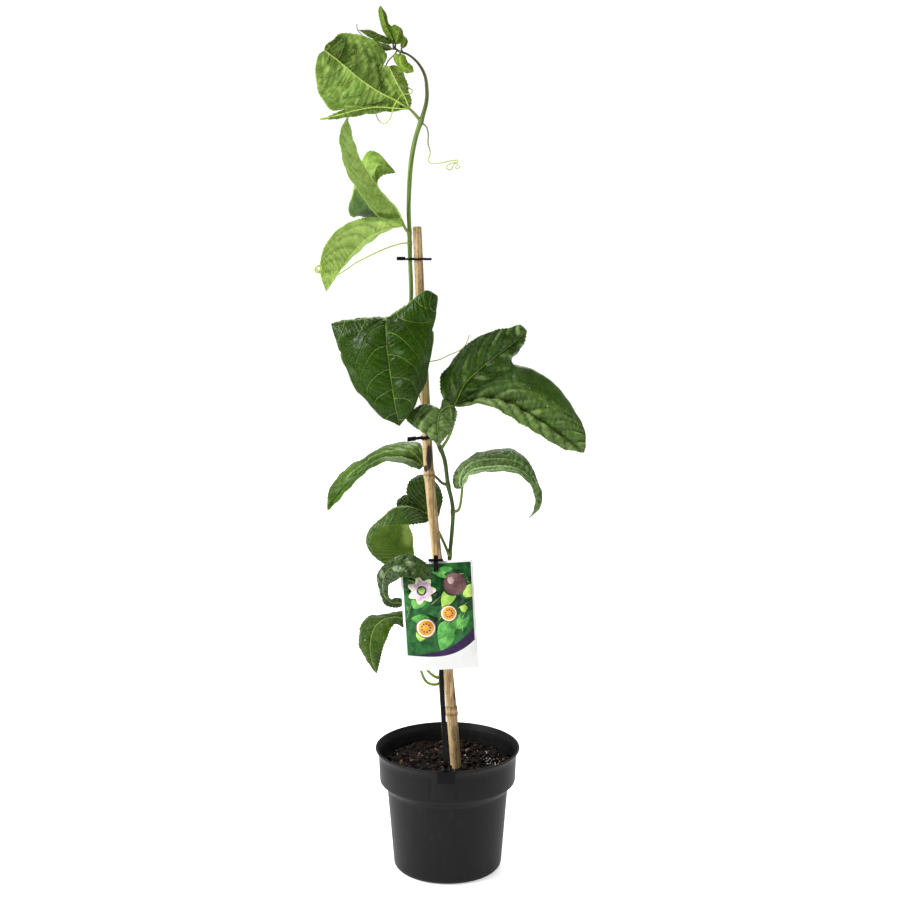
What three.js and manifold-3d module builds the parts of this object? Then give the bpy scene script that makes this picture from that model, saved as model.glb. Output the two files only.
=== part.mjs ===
// A passion flower vine on a bamboo cane, in its nursery pot with a hanging picture label.
// Millimetres, +Z up. The origin is the middle of the pot's base, on the ground.

import * as THREE from 'three';
import { mergeVertices } from 'three/addons/utils/BufferGeometryUtils.js';
import Module from 'manifold-3d';

const wasm = await Module();
wasm.setup();

// Driving dimensions.
const SEAT_GAP = 0.3; // left between two pieces that touch

const POT_HEIGHT = 122;
const POT_WALL = 1.6;
const POT_FLOOR = 2.4;
const POT_BASE_RADIUS = 46;
const POT_HEEL_RADIUS = 53; // where the base has turned up into the wall
const POT_HEEL_HEIGHT = 5;
const POT_NECK_RADIUS = 59.2; // top of the tapered wall
const COLLAR_SLOPE = 8; // height over which the wall widens into the collar
const COLLAR_FOOT = 90; // height of the collar's lower edge
const COLLAR_FOOT_RADIUS = 66.4;
const COLLAR_TOP_RADIUS = 67.4;
const POT_RIM_RADIUS = 70;
const LIP_HEIGHT = 3.5;
const GROOVE_SIZE = [3.4, 4, 24]; // upright grooves in the front of the collar
const GROOVE_PLACES = [-16, 10];
const GROOVE_DEPTH = 0.8;
const DRAIN_HOLES = 8;
const DRAIN_HOLE_RADIUS = 5;
const DRAIN_CIRCLE_RADIUS = 36;

const SOIL_LEVEL = 105;
const SOIL_RADIUS = 64.6; // at its top, against the collar's inside
const SOIL_RING = 5; // width of the rings that its top is divided into
const SOIL_LUMPS = 90;
const LUMP_SIZE = [3, 7];
const LUMP_RISE = [-1.2, 3.3];

// The cane's radius at heights along it, from its foot: two swollen nodes.
const CANE_LENGTH = 600;
const CANE_PROFILE = [
  [5.2, 0], [5.2, 125], [5.35, 132], [5.75, 138], [5.15, 142], [4.8, 170], [4.7, 250], [4.7, 330],
  [4.85, 366], [5.5, 372], [4.85, 375], [4.65, 410], [4.35, 500], [4.05, CANE_LENGTH],
];

const STEM_RADIUS = 1.9;
const STEM_TIP_RADIUS = 1.1;
const STEM_THINS_FROM = 0.75; // share of the stem's length
const PETIOLE_RADIUS = 1.15;
const YOUNG_PETIOLE_RADIUS = 0.7;
const TENDRIL_RADIUS = 0.65;

const LEAF_THICKNESS = 0.7;
const LEAF_ROWS = 9; // steps from a lobe's base to its tip
const YOUNG_ROWS = 5;
const TOOTH = 0.8; // how far the teeth of a margin stand out
const CROWN = 0.1; // how far half a lobe arches up, as a share of its width

const CARD_SIZE = [67.5, 0.6, 104.5];
const CARD_CENTRE = [-7.5, -63, 273];
const CARD_TILT = THREE.MathUtils.degToRad(-3.2);
const STAKE_THICKNESS = 1.5;
const STAKE_FOOT = 108;
const STAKE_TOP = 330.5;
const STAKE_EDGES = { topLeft: -13, topRight: -8.4, footLeft: -4.4, footRight: 2.8 };
const TONGUE = { x: -10.6, width: 4, length: 15, crossWidth: 14, crossHeight: 2.4, crossDrop: 4 };
const CLIP = { x: -1.3, width: 17, height: 13, reach: 10 }; // hooks over the rim

// The ties: a strap round cane and stem, with blocks of its buckle.
const STRAP_THICKNESS = 1.1;
const STRAP_SLACK = 0.5;
const TIES = {
  tie_upper: {
    height: 599,
    strapHeight: 1.8,
    caneRadius: 4.1,
    blocks: [
      { size: [7.9, 3, 3.2], at: [-42.85, -9.8, 599.5] },
      { size: [3, 1.3, 1.8], at: [-38.3, -9.8, 599] },
      { size: [7.8, 2.8, 2.1], at: [-18.4, -7.5, 598.8] },
    ],
    slits: [{ size: [3.4, 8, 8], at: [-24.7, -13, 599] }],
  },
  tie_lower: {
    height: 432,
    strapHeight: 2.2,
    caneRadius: 4.65,
    blocks: [
      { size: [8.4, 3, 3.8], at: [-33.8, -11, 431] },
      { size: [6, 1.6, 2.2], at: [-27.2, -11, 432] },
    ],
    slits: [],
  },
};

// Points along the middle of the vine's stem and of the cane, from the foot to the top.
const STEM_ROUTE = [
  [-2, -12, 71.5], [-2, -12, 106.5], [-4.5, -10, 156.5], [-6.5, -7.5, 196.5], [-2, -3.5, 259.5],
  [2, -7, 313], [4.5, -8, 341.5], [5, -8, 363], [0.5, -7.5, 386], [-3, -7, 410.5], [-9, -6.5, 425.5],
  [-12.5, -5, 433.5], [-16.5, -3, 442], [-23, -1.5, 462], [-28.5, -4.5, 485.5], [-32, -8.5, 514],
  [-34, -9, 547], [-33.5, -9.5, 570.5], [-34.5, -9.5, 599], [-35, -9, 625.5], [-35.5, -9, 648.5],
  [-33, -10, 688.5], [-28.5, -11, 711], [-23, -12, 727], [-19, -12, 741.5], [-18.5, -12, 752],
  [-20.5, -11, 765.5], [-27, -10, 776.5], [-35.5, -9, 783.5], [-43.5, -8, 786.5], [-48.5, -8, 790],
];
const CANE_ROUTE = [
  [14.5, -15, 26], [8.5, -14, 107], [0.5, -12.5, 204], [-10, -11, 317], [-17.5, -10, 400],
  [-19.5, -9.5, 437.5], [-24, -8, 533], [-28, -7, 626.5],
];

// The leaves. A leaf is a base where its veins meet, the points of its petiole from the stem to the
// base, its lobes and the clefts between them. A lobe has points along its vein, to its tip, and along
// its left and right edges, as seen from the upper side with the tip ahead.
const LEAVES = {
  leaf_top: {
    base: [-33.5, -17, 734.5],
    petiole: [[-24.5, -12, 724], [-29, -14.5, 730], [-31.5, -16, 733]],
    lobes: [
      {
        vein: [[-39, -19, 746.5], [-46, -19, 759], [-52.5, -12, 773.5]],
        left: [
          [-33, -12, 743.5], [-34.5, -10, 752], [-37.5, -8, 762], [-41, -7, 770.5], [-48.5, -8, 774.5],
        ],
        right: [[-57.5, -10, 774]],
      },
      {
        vein: [
          [-46.5, -20, 742.5], [-61, -23, 750.5], [-79.5, -25, 761.5], [-92, -24, 773],
          [-104.5, -19, 783.5], [-111.5, -13, 787],
        ],
        left: [
          [-56, -7, 778], [-55, -6, 783], [-63, -6, 793.5], [-68.5, -6, 797.5], [-75.5, -6, 800.5],
          [-86, -6, 802.5], [-95.5, -7, 801.5], [-104, -9, 796.5], [-110, -11, 791],
        ],
        right: [
          [-105, -12, 734], [-109.5, -11, 738], [-114, -10, 745], [-118, -10, 754],
          [-119.5, -10, 764.5], [-119, -11, 774], [-116, -12, 783],
        ],
      },
      {
        vein: [
          [-48, -20, 736.5], [-64.5, -21, 736.5], [-83.5, -20, 734.5], [-101.5, -18, 729],
          [-115.5, -16, 725.5],
        ],
        left: [[-98, -15, 732.5], [-107, -15, 729]],
        right: [
          [-40, -15, 733.5], [-47, -14, 733], [-61.5, -13, 731.5], [-83, -13, 729], [-105, -14, 726],
        ],
      },
    ],
    clefts: [
      { row: 4, route: [[-58.5, -9, 772.5]] },
      { row: 5, route: [[-94, -14, 735]] },
    ],
  },
  leaf_upper: {
    base: [-39.5, -14, 629.5],
    petiole: [[-35.5, -9, 623], [-37.5, -12.5, 626.5]],
    lobes: [
      {
        vein: [[-51, -2, 643.5], [-64.5, 12, 664], [-71, 22, 679], [-64, 25, 686.5], [-48, 22, 676.5]],
        left: [[-44.5, -4, 642], [-56, 8, 656], [-62.5, 14, 661], [-65, 20, 668.5], [-60, 22, 675]],
        right: [
          [-91.5, 24, 648.5], [-86.5, 28, 665], [-80, 28, 688], [-73, 27, 695.5], [-65, 26, 694.5],
          [-55.5, 24, 685],
        ],
      },
      {
        vein: [
          [-46, -18, 645], [-60, -20, 660], [-70.5, -19, 675], [-79.5, -16, 691], [-87, -11, 709],
          [-91.5, -6, 727.5],
        ],
        left: [[-92, 18, 639.5], [-90.5, 16, 649], [-83, 10, 661], [-79.5, 3, 681.5], [-87, -3, 711]],
        right: [
          [-63.5, -28, 639.5], [-79, -33, 662], [-90, -32, 679], [-95.5, -28, 695.5],
          [-97, -22, 708.5], [-95, -14, 720],
        ],
      },
      {
        vein: [
          [-55.5, -20, 627], [-74.5, -25, 618.5], [-85.5, -28, 607], [-96.5, -29, 593.5],
          [-110.5, -28, 571],
        ],
        left: [
          [-64.5, -25, 638], [-86, -33, 634.5], [-100.5, -38, 627], [-111, -40, 612.5],
          [-115, -38, 600.5], [-115, -33, 584.5],
        ],
        right: [
          [-56.5, -8, 624], [-75.5, -10, 611.5], [-87, -12, 601], [-97.5, -16, 590], [-107, -22, 577],
        ],
      },
    ],
    clefts: [
      { row: 4, route: [[-85.5, 18, 634]] },
      { row: 3, route: [[-54.5, -20, 636]] },
    ],
  },
  leaf_front: {
    base: [-56, -31, 547.5],
    petiole: [[-33.5, -9, 540.5], [-39.5, -15, 542], [-47.5, -22, 543.5], [-53, -27, 546]],
    lobes: [
      {
        vein: [[-48, -34, 551], [-35, -37, 560.5], [-23, -38, 569], [-8.5, -34, 567]],
        left: [[-51, -22, 544.5], [-34.5, -20, 551], [-19.5, -24, 560]],
        right: [[-10, -37, 554]],
      },
      {
        vein: [
          [-56.5, -42, 540], [-55, -49, 521.5], [-52.5, -52, 497], [-48, -52, 471.5],
          [-43.5, -47, 449.5],
        ],
        left: [
          [-12.5, -41, 529.5], [-14, -43, 520], [-17, -46, 505.5], [-20.5, -48, 489], [-27, -50, 477],
          [-30, -50, 467], [-39.5, -49, 456],
        ],
        right: [
          [-96.5, -37, 510], [-91, -41, 498.5], [-84.5, -45, 484], [-76, -47, 475],
          [-67.5, -49, 465.5], [-59, -49, 457], [-51, -48, 454],
        ],
      },
      {
        vein: [[-69, -34, 546.5], [-87.5, -32, 544.5], [-106.5, -25, 541]],
        left: [[-103, -30, 529]],
        right: [[-65, -22, 543], [-87.5, -16, 538.5]],
      },
    ],
    clefts: [
      { row: 7, route: [[-45, -42, 544.5], [-29.5, -44, 542], [-12.5, -41, 539]] },
      { row: 7, route: [[-67, -42, 541.5], [-83.5, -43, 531], [-99.5, -36, 517]] },
    ],
  },
  leaf_right: {
    base: [6, -24, 464],
    petiole: [[-6.5, -7, 420.5], [-0.5, -9, 428], [3.5, -14, 437.5], [6, -20, 450], [6.5, -22, 458]],
    lobes: [
      {
        vein: [
          [-1, -31, 463.5], [-7.5, -38, 459.5], [-9, -44, 449.5], [-8.5, -45, 438.5], [-8, -43, 429],
        ],
        left: [[8, -27, 458.5], [5.5, -35, 451.5], [1.5, -41, 441.5], [-4, -43, 436]],
        right: [
          [-7, -33, 462], [-14, -35, 466], [-25.5, -36, 466], [-32, -37, 462], [-37.5, -38, 455],
          [-28.5, -42, 447], [-19, -44, 440.5], [-12, -44, 434],
        ],
      },
      {
        vein: [
          [15, -19, 482], [21.5, -16, 489], [32.5, -11, 498], [44, -5, 506.5], [58.5, 3, 517.5],
          [75, 9, 530],
        ],
        left: [
          [-6.5, -26, 481], [-6, -23, 491], [2, -18, 501], [8.5, -12, 510], [16, -8, 517.5],
          [30, -3, 526], [44.5, 2, 530.5], [58.5, 6, 533], [68, 9, 534.5],
        ],
        right: [[60.5, 2, 504.5], [66, 5, 509.5], [71.5, 8, 520.5]],
      },
      {
        vein: [
          [25, -20, 467.5], [43, -18, 467.5], [58, -19, 465], [71, -20, 458.5], [88, -22, 448],
          [103, -23, 437.5], [117.5, -23, 427], [128, -22, 419.5],
        ],
        left: [
          [68, 1, 498], [78.5, 0, 495], [90.5, -2, 489], [101.5, -4, 480.5], [111.5, -7, 469],
          [120.5, -11, 454.5], [126.5, -15, 442.5], [128.5, -19, 430.5],
        ],
        right: [
          [11.5, -26, 463], [19.5, -30, 465], [29, -33, 467], [40.5, -36, 465], [60.5, -37, 453.5],
          [80.5, -36, 441.5], [97, -33, 431], [108.5, -29, 424], [121, -25, 421],
        ],
      },
    ],
    clefts: [
      { row: 2, route: [[-3.5, -27, 471.5]] },
      { row: 6, route: [[61, 0, 499.5]] },
    ],
  },
  leaf_left: {
    base: [-23.5, 2, 401.5],
    petiole: [[0.5, -7, 385], [-5, -2, 386.5], [-9.5, 2, 389], [-16.5, 4, 396]],
    lobes: [
      {
        vein: [
          [-28, 0, 405.5], [-39.5, -5, 410.5], [-55, -10, 412], [-67, -12, 409.5], [-82.5, -13, 399],
          [-97, -13, 382.5], [-114, -11, 361],
        ],
        left: [
          [-25.5, -3, 400], [-30.5, -14, 403], [-39, -22, 408], [-56, -28, 411.5], [-72, -28, 405],
          [-91, -25, 387], [-106, -18, 369],
        ],
        right: [
          [-22, 9, 410], [-27, 15, 421], [-37, 17, 422.5], [-54.5, 15, 420], [-67.5, 11, 415],
          [-77.5, 7, 409], [-93.5, 1, 401.5], [-112, -6, 379.5],
        ],
      },
    ],
    clefts: [],
  },
  leaf_inner: {
    base: [-16.5, 2, 353],
    petiole: [[2, -9, 316.5], [-1.5, -5, 324.5], [-7, -1, 335.5], [-12.5, 2, 345]],
    lobes: [
      {
        vein: [
          [-28, -1, 360], [-40.5, -5, 364], [-51.5, -8, 362], [-63, -9, 352.5], [-73.5, -8, 342.5],
          [-77.5, -6, 330.5], [-73.5, -3, 319], [-64.5, 0, 310], [-53.5, 3, 302.5],
        ],
        left: [
          [-18.5, -3, 349], [-33.5, -14, 349.5], [-47, -17, 349], [-56, -17, 347.5], [-66, -15, 344],
          [-72, -12, 335.5], [-73.5, -9, 326], [-69, -6, 316.5], [-61, -2, 307.5],
        ],
        right: [
          [-37, 13, 354.5], [-37, 14, 341], [-34.5, 13, 331.5], [-33, 11, 321], [-33, 9, 309.5],
          [-42, 6, 302.5],
        ],
      },
      {
        vein: [[-27.5, 7, 360.5], [-39, 13, 364.5], [-49.5, 17, 358.5]],
        left: [[-43, 16, 355.5]],
        right: [[-39, 14, 371], [-43, 17, 368.5], [-47.5, 18, 364.5]],
      },
      {
        vein: [[-19, 8, 367], [-22, 13, 379], [-21.5, 20, 386], [-17, 26, 386]],
        left: [[-38.5, 12, 374.5], [-37, 15, 382], [-33, 19, 386.5], [-25.5, 24, 388]],
        right: [[-9, 4, 352.5], [-7, 6, 358], [-4.5, 9, 366], [-6, 13, 374.5], [-9.5, 20, 380.5]],
      },
    ],
    clefts: [
      { row: 3, route: [[-33, 10, 356]] },
      { row: 4, route: [[-36, 11, 364.5]] },
    ],
  },
  leaf_curled: {
    base: [-41, -42, 279.5],
    petiole: [
      [-6.5, -7.5, 196], [-10, -11, 196], [-19, -17, 205], [-30, -22, 227], [-35.5, -25, 250],
      [-38, -34, 267], [-40, -40, 276],
    ],
    lobes: [
      {
        vein: [
          [-51, -47, 280.5], [-58, -53, 288], [-60, -59, 303.5], [-55, -65, 317], [-43.5, -70, 323.5],
          [-30.5, -72, 323.5], [-20.5, -72, 319], [-13, -70, 312],
        ],
        left: [
          [-44.5, -41, 275.5], [-53, -45, 277], [-59, -49, 281], [-62, -50, 290], [-65, -53, 302.5],
          [-64, -57, 312.5], [-56, -63, 322.5], [-45, -67, 331], [-35.5, -69, 333.5],
          [-25, -70, 329.5], [-17.5, -70, 321.5],
        ],
        right: [
          [-43.5, -46, 285], [-48, -52, 287.5], [-52.5, -58, 287.5], [-55, -60, 292.5],
          [-54, -65, 302.5], [-47, -73, 310.5], [-41, -77, 314.5], [-31.5, -78, 314.5],
          [-22.5, -76, 313],
        ],
      },
    ],
    clefts: [],
  },
  leaf_low: {
    base: [-40, -34, 261.5],
    petiole: [
      [-6, -8, 190], [-10.5, -13.5, 190], [-16.5, -19, 192.5], [-21.5, -24, 197.5],
      [-25.5, -29, 208.5], [-29, -32, 227], [-34.5, -34, 248.5],
    ],
    lobes: [
      {
        vein: [
          [-49.5, -40, 264.5], [-59.5, -46, 264], [-68, -50, 257.5], [-72, -52, 245], [-72, -51, 230],
          [-67.5, -46, 211],
        ],
        left: [
          [-42.5, -46, 257], [-50, -53, 261.5], [-56.5, -57, 251], [-60, -56, 241], [-64.5, -51, 225.5],
        ],
        right: [
          [-43, -24, 266.5], [-52.5, -26, 264.5], [-61, -28, 263], [-72.5, -32, 263.5],
          [-80, -36, 259.5], [-83, -40, 248.5], [-83, -42, 238], [-79.5, -43, 229], [-74, -44, 221],
        ],
      },
    ],
    clefts: [],
  },
  leaf_arch: {
    base: [14, -8, 382],
    petiole: [[5.5, -8, 359], [10, -9, 361.5], [12, -9.5, 366.5], [13.5, -9, 374]],
    lobes: [
      {
        vein: [
          [14.5, -12, 391.5], [24, -18, 401.5], [38.5, -21, 405.5], [52.5, -22, 405.5],
          [67, -21, 401.5], [77.5, -19, 391.5], [84.5, -16, 377.5], [84.5, -14, 363.5], [76, -12, 353.5],
        ],
        left: [
          [7, -4, 381.5], [6, 1, 389], [8.5, 4, 397], [17, 4, 407], [28.5, 3, 414.5], [41.5, 1, 417],
          [57.5, 0, 418.5], [67.5, -2, 414.5], [78, -5, 405], [84, -9, 391], [88.5, -12, 378.5],
          [88.5, -12, 369], [84.5, -12, 359.5],
        ],
        right: [
          [16.5, -17, 388.5], [22.5, -28, 399], [35.5, -34, 403], [49.5, -36, 404.5], [64, -34, 402.5],
          [72.5, -31, 396.5], [79, -27, 387.5], [82.5, -22, 377], [81.5, -17, 365],
        ],
      },
    ],
    clefts: [],
  },
  young_leaf_tall: {
    base: [-47, -7, 792.5],
    petiole: [[-47.5, -8, 789]],
    rows: YOUNG_ROWS,
    lobes: [
      {
        vein: [[-44.5, -11, 800], [-43, -12, 806], [-47.5, -9, 810]],
        left: [[-41.5, -8, 794], [-40, -7, 801], [-41, -7, 806]],
        right: [[-49, -8, 809.5]],
      },
      {
        vein: [[-52, -9, 802.5], [-56.5, -9, 812], [-58.5, -7, 821], [-60.5, -4, 827]],
        left: [[-53.5, -6, 811.5], [-55, -5, 819.5], [-58, -4, 824]],
        right: [[-51, -6, 794.5], [-55, -5, 799.5], [-59.5, -5, 808], [-61.5, -4, 817], [-62, -4, 824]],
      },
    ],
    clefts: [
      { row: 4, route: [[-50.5, -7, 808]] },
    ],
  },
  young_leaf_narrow: {
    base: [-49.5, -12, 793.5],
    petiole: [[-48.5, -8, 789.5]],
    rows: YOUNG_ROWS,
    lobes: [
      {
        vein: [[-58, -15, 796.5], [-67.5, -15, 800.5], [-80, -12, 805]],
        left: [[-52.5, -17, 792.5], [-59, -19, 794], [-69.5, -18, 798.5]],
        right: [[-52, -10, 796.5], [-59, -10, 800.5], [-68.5, -10, 804.5]],
      },
    ],
    clefts: [],
  },
  young_leaf_under: {
    base: [-49.5, -3, 788.5],
    petiole: [[-47, -8, 788.5], [-48, -5.5, 788.5]],
    rows: YOUNG_ROWS,
    lobes: [
      {
        vein: [[-56, 1, 790.5], [-63, 4, 793.5], [-68.5, 6, 797.5]],
        left: [[-52, -2, 787.5], [-57, -2, 787.5], [-63.5, 1, 791]],
        right: [[-53.5, 4, 792], [-60, 7, 794], [-64.5, 7, 797]],
      },
    ],
    clefts: [],
  },
  young_leaf_hanging: {
    base: [-42.5, -13, 784],
    petiole: [[-43, -8, 786]],
    rows: YOUNG_ROWS,
    lobes: [
      {
        vein: [[-43, -16, 779.5], [-40.5, -17, 773], [-30.5, -15, 768]],
        left: [[-38.5, -13, 782.5], [-36, -13, 777], [-32, -13, 773]],
        right: [[-47.5, -13, 783.5], [-48, -13, 778.5], [-44.5, -14, 773], [-38, -15, 767.5]],
      },
    ],
    clefts: [],
  },
  stipule_leaf: {
    base: [-41.5, -11, 788.5],
    petiole: [[-40.5, -8.5, 785.5]],
    rows: YOUNG_ROWS,
    lobes: [
      {
        vein: [[-39.5, -12, 792.5], [-37.5, -12, 797], [-40, -10, 801]],
        left: [[-42, -11, 792.5], [-40, -10, 797.5]],
        right: [[-37, -12, 791], [-36, -11, 796]],
      },
    ],
    clefts: [],
  },
};

// The tendrils, from the stem to their ends.
const TENDRILS = {
  tendril_tip: [
    [-45, -8, 787.5], [-48, -7, 783.5], [-54, -4, 777.5], [-56, 2, 770], [-49, 4, 760],
    [-38.5, 3, 755.5], [-32, -6, 752], [-33, -16, 749], [-36, -23, 748.5], [-41.5, -27, 747],
    [-45, -30, 742.5], [-49, -28, 735], [-51, -24, 728], [-54.5, -18, 723.5], [-57.5, -14, 722],
    [-62.5, -8, 725], [-65.5, -3, 731], [-72.5, 3, 747.5], [-78, 5, 770], [-79.5, 4, 789.5],
    [-78, 2, 801.5], [-80.5, 1, 804], [-82, 1, 807.5], [-82, 1, 811],
  ],
  tendril_left: [
    [-34.5, -9.5, 613.5], [-39, -14, 614], [-46.5, -20, 613], [-58, -28, 609.5], [-70.5, -34, 604],
    [-83, -39, 598], [-92, -42, 592], [-100.5, -43, 587.5], [-109.5, -43, 587], [-116, -43, 589.5],
    [-119.5, -43, 594],
  ],
  tendril_right: [
    [-24, -12, 723.5], [-19, -13, 719], [-17.5, -14, 713.5], [-17.5, -17, 704], [-15.5, -19, 696],
    [-17.5, -20, 689.5], [-15.5, -21, 687], [-6.5, -23, 687], [3, -24, 689], [9.5, -24, 689.5],
    [9, -24.5, 688], [4, -25.5, 687], [0, -26.5, 685], [-0.5, -26.5, 682.5], [2, -26, 681],
    [4.5, -24.5, 682.5], [5.5, -23, 685], [8, -22, 687], [9.5, -22.5, 685.5], [8, -23.5, 684],
    [7.5, -23.5, 682.5], [9.5, -23, 682], [11.5, -22.5, 684.5],
  ],
  tendril_mid: [
    [-31.5, -8.5, 509.5], [-27.5, -2, 504], [-22, 0, 501.5], [-14.5, -4, 503], [-7, -10, 505.5],
    [1.5, -16, 510.5], [12.5, -19, 516], [17, -19, 521], [20.5, -18, 529.5],
  ],
};// The coil at the end of a tendril.
const COILS = {
  tendril_left: {
    start: [-121, -43, 591],
    axis: [0.3, -0.6, 0.4],
    side: [-1, 0, -0.3],
    radius: 3.6,
    pitch: 1.9,
    turns: 3,
  },
};
const COIL_STEPS = 6; // points in a turn of a coil
const COIL_TIGHTENING = 0.35; // how much of its radius a coil loses by its end

// Solids.

function vector([x, y, z]) {
  return new THREE.Vector3(x, y, z);
}

function solidOf(geometry) {
  const bare = geometry.index ? geometry.toNonIndexed() : geometry;
  bare.deleteAttribute('normal');
  bare.deleteAttribute('uv');
  const merged = mergeVertices(bare, 1e-4);
  return new wasm.Manifold(new wasm.Mesh({
    numProp: 3,
    vertProperties: new Float32Array(merged.attributes.position.array),
    triVerts: new Uint32Array(merged.index.array),
  }));
}

function geometryOf(solid) {
  const { vertProperties, triVerts } = solid.getMesh();
  const geometry = new THREE.BufferGeometry();
  geometry.setAttribute('position', new THREE.BufferAttribute(vertProperties, 3));
  geometry.setIndex(new THREE.BufferAttribute(triVerts, 1));
  geometry.computeVertexNormals();
  return geometry;
}

// The largest body of a solid, without the scraps that a cut leaves.
function mainBody(solid) {
  return solid.decompose().reduce((a, b) => (a.volume() > b.volume() ? a : b));
}

function meshOf(positions, faces) {
  const geometry = new THREE.BufferGeometry();
  const coordinates = positions.flatMap((p) => [p.x, p.y, p.z]);
  geometry.setAttribute('position', new THREE.Float32BufferAttribute(coordinates, 3));
  geometry.setIndex(faces.flat());
  return geometry;
}

function box([width, depth, height], [x, y, z]) {
  return solidOf(new THREE.BoxGeometry(width, depth, height).translate(x, y, z));
}

// A lathe about the Z axis from [radius, height] pairs.
function lathe(profile, segments) {
  const outline = profile.map(([radius, height]) => new THREE.Vector2(radius, height));
  return new THREE.LatheGeometry(outline, segments).rotateX(Math.PI / 2);
}

function curveThrough(points) {
  return new THREE.CatmullRomCurve3(points, false, 'centripetal');
}

// A closed tube along a curve, through stations of [share of the length, radius].
function tube(curve, stations, sides) {
  const positions = [];
  const faces = [];
  const steps = stations.length - 1;
  const normal = new THREE.Vector3(0.6, 0.8, 0.05);
  for (const [share, radius] of stations) {
    const along = curve.getTangentAt(share);
    normal.addScaledVector(along, -normal.dot(along)).normalize();
    const binormal = new THREE.Vector3().crossVectors(along, normal);
    for (let j = 0; j < sides; j += 1) {
      const turn = (2 * Math.PI * j) / sides;
      positions.push(curve.getPointAt(share)
        .addScaledVector(normal, radius * Math.cos(turn))
        .addScaledVector(binormal, radius * Math.sin(turn)));
    }
  }
  const start = positions.push(curve.getPointAt(0)) - 1;
  const end = positions.push(curve.getPointAt(1)) - 1;
  for (let j = 0; j < sides; j += 1) {
    const next = (j + 1) % sides;
    for (let i = 0; i < steps; i += 1) {
      const near = i * sides;
      const far = near + sides;
      faces.push([near + j, near + next, far + next], [near + j, far + next, far + j]);
    }
    faces.push([start, next, j], [end, steps * sides + j, steps * sides + next]);
  }
  return meshOf(positions, faces);
}

// Even stations for a radius that changes along the length.
function evenStations(steps, radiusAt) {
  return Array.from({ length: steps + 1 }, (_, i) => [i / steps, radiusAt(i / steps)]);
}

// A repeatable draw from 0 to 1.
function drawFrom(seed) {
  let state = seed;
  return () => {
    state = (state * 16807) % 2147483647;
    return state / 2147483647;
  };
}

function between([low, high], share) {
  return low + (high - low) * share;
}

// Leaf blades. A lobe is two halves, each a strip from its vein to its edge. Halves of
// neighbouring lobes share the seam from the leaf's base to the cleft between them, and past it
// the edge is toothed.

function edgeOf({ lobe, side, cleft, base, rows, addPoint, vein }) {
  const start = cleft ? cleft.row : 0;
  const route = [cleft ? cleft.route.at(-1) : base, ...lobe[side], lobe.vein.at(-1)].map(vector);
  const samples = curveThrough(route).getSpacedPoints(2 * (rows - start));
  const edge = [];
  const teeth = [];
  for (let i = 1; i < rows; i += 1) {
    edge[i] = cleft && i <= start ? cleft.seam[i] : addPoint(samples[2 * (i - start)]);
  }
  for (let i = start; i < rows; i += 1) {
    const out = samples[2 * (i - start) + 1];
    const inward = vein[i + 1].clone().add(vein[i]).multiplyScalar(0.5).sub(out).normalize();
    teeth[i] = addPoint(out.clone().addScaledVector(inward, -TOOTH));
  }
  return { edge, teeth };
}

// Points along the middle of half a lobe, raised by its crown.
function crownPoints({ vein, veinIndex, edge, side, points, addPoint }) {
  const last = vein.length - 1;
  return vein.map((p, i) => {
    if (i === 0 || i === last) return veinIndex[i];
    const across = points[edge[i]].clone().sub(p);
    const up = vein[i + 1].clone().sub(vein[i - 1]).cross(across);
    up.multiplyScalar(side === 'left' ? 1 : -1).normalize();
    const rise = CROWN * across.length();
    return addPoint(p.clone().addScaledVector(across, 0.5).addScaledVector(up, rise));
  });
}

function stripFaces({ veinIndex, middle, edge, teeth, rows }) {
  const strip = [];
  for (let i = 0; i < rows; i += 1) {
    const n = i + 1;
    strip.push([veinIndex[i], veinIndex[n], middle[n]], [veinIndex[i], middle[n], middle[i]]);
    if (teeth[i] === undefined) {
      strip.push([middle[i], middle[n], edge[n]], [middle[i], edge[n], edge[i]]);
    } else {
      strip.push([middle[i], middle[n], teeth[i]], [middle[i], teeth[i], edge[i]]);
      strip.push([middle[n], edge[n], teeth[i]]);
    }
  }
  return strip.filter(([a, b, c]) => a !== b && b !== c && c !== a);
}

function bladeSurface({ base, lobes, clefts, rows = LEAF_ROWS }) {
  const points = [vector(base)];
  const faces = [];
  const addPoint = (p) => points.push(p) - 1;
  const seams = clefts.map(({ row, route }) => {
    const line = curveThrough([base, ...route].map(vector)).getSpacedPoints(row);
    return { row, route, seam: line.map((p, i) => (i === 0 ? 0 : addPoint(p))) };
  });
  lobes.forEach((lobe, k) => {
    const vein = curveThrough([base, ...lobe.vein].map(vector)).getSpacedPoints(rows);
    const veinIndex = vein.map((p, i) => (i === 0 ? 0 : addPoint(p)));
    for (const [side, cleft] of [['left', seams[k - 1]], ['right', seams[k]]]) {
      const { edge, teeth } = edgeOf({ lobe, side, cleft, base, rows, addPoint, vein });
      edge[0] = 0;
      edge[rows] = veinIndex[rows];
      const middle = crownPoints({ vein, veinIndex, edge, side, points, addPoint });
      for (const [a, b, c] of stripFaces({ veinIndex, middle, edge, teeth, rows })) {
        faces.push(side === 'left' ? [a, b, c] : [a, c, b]);
      }
    }
  });
  return { points, faces };
}

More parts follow.
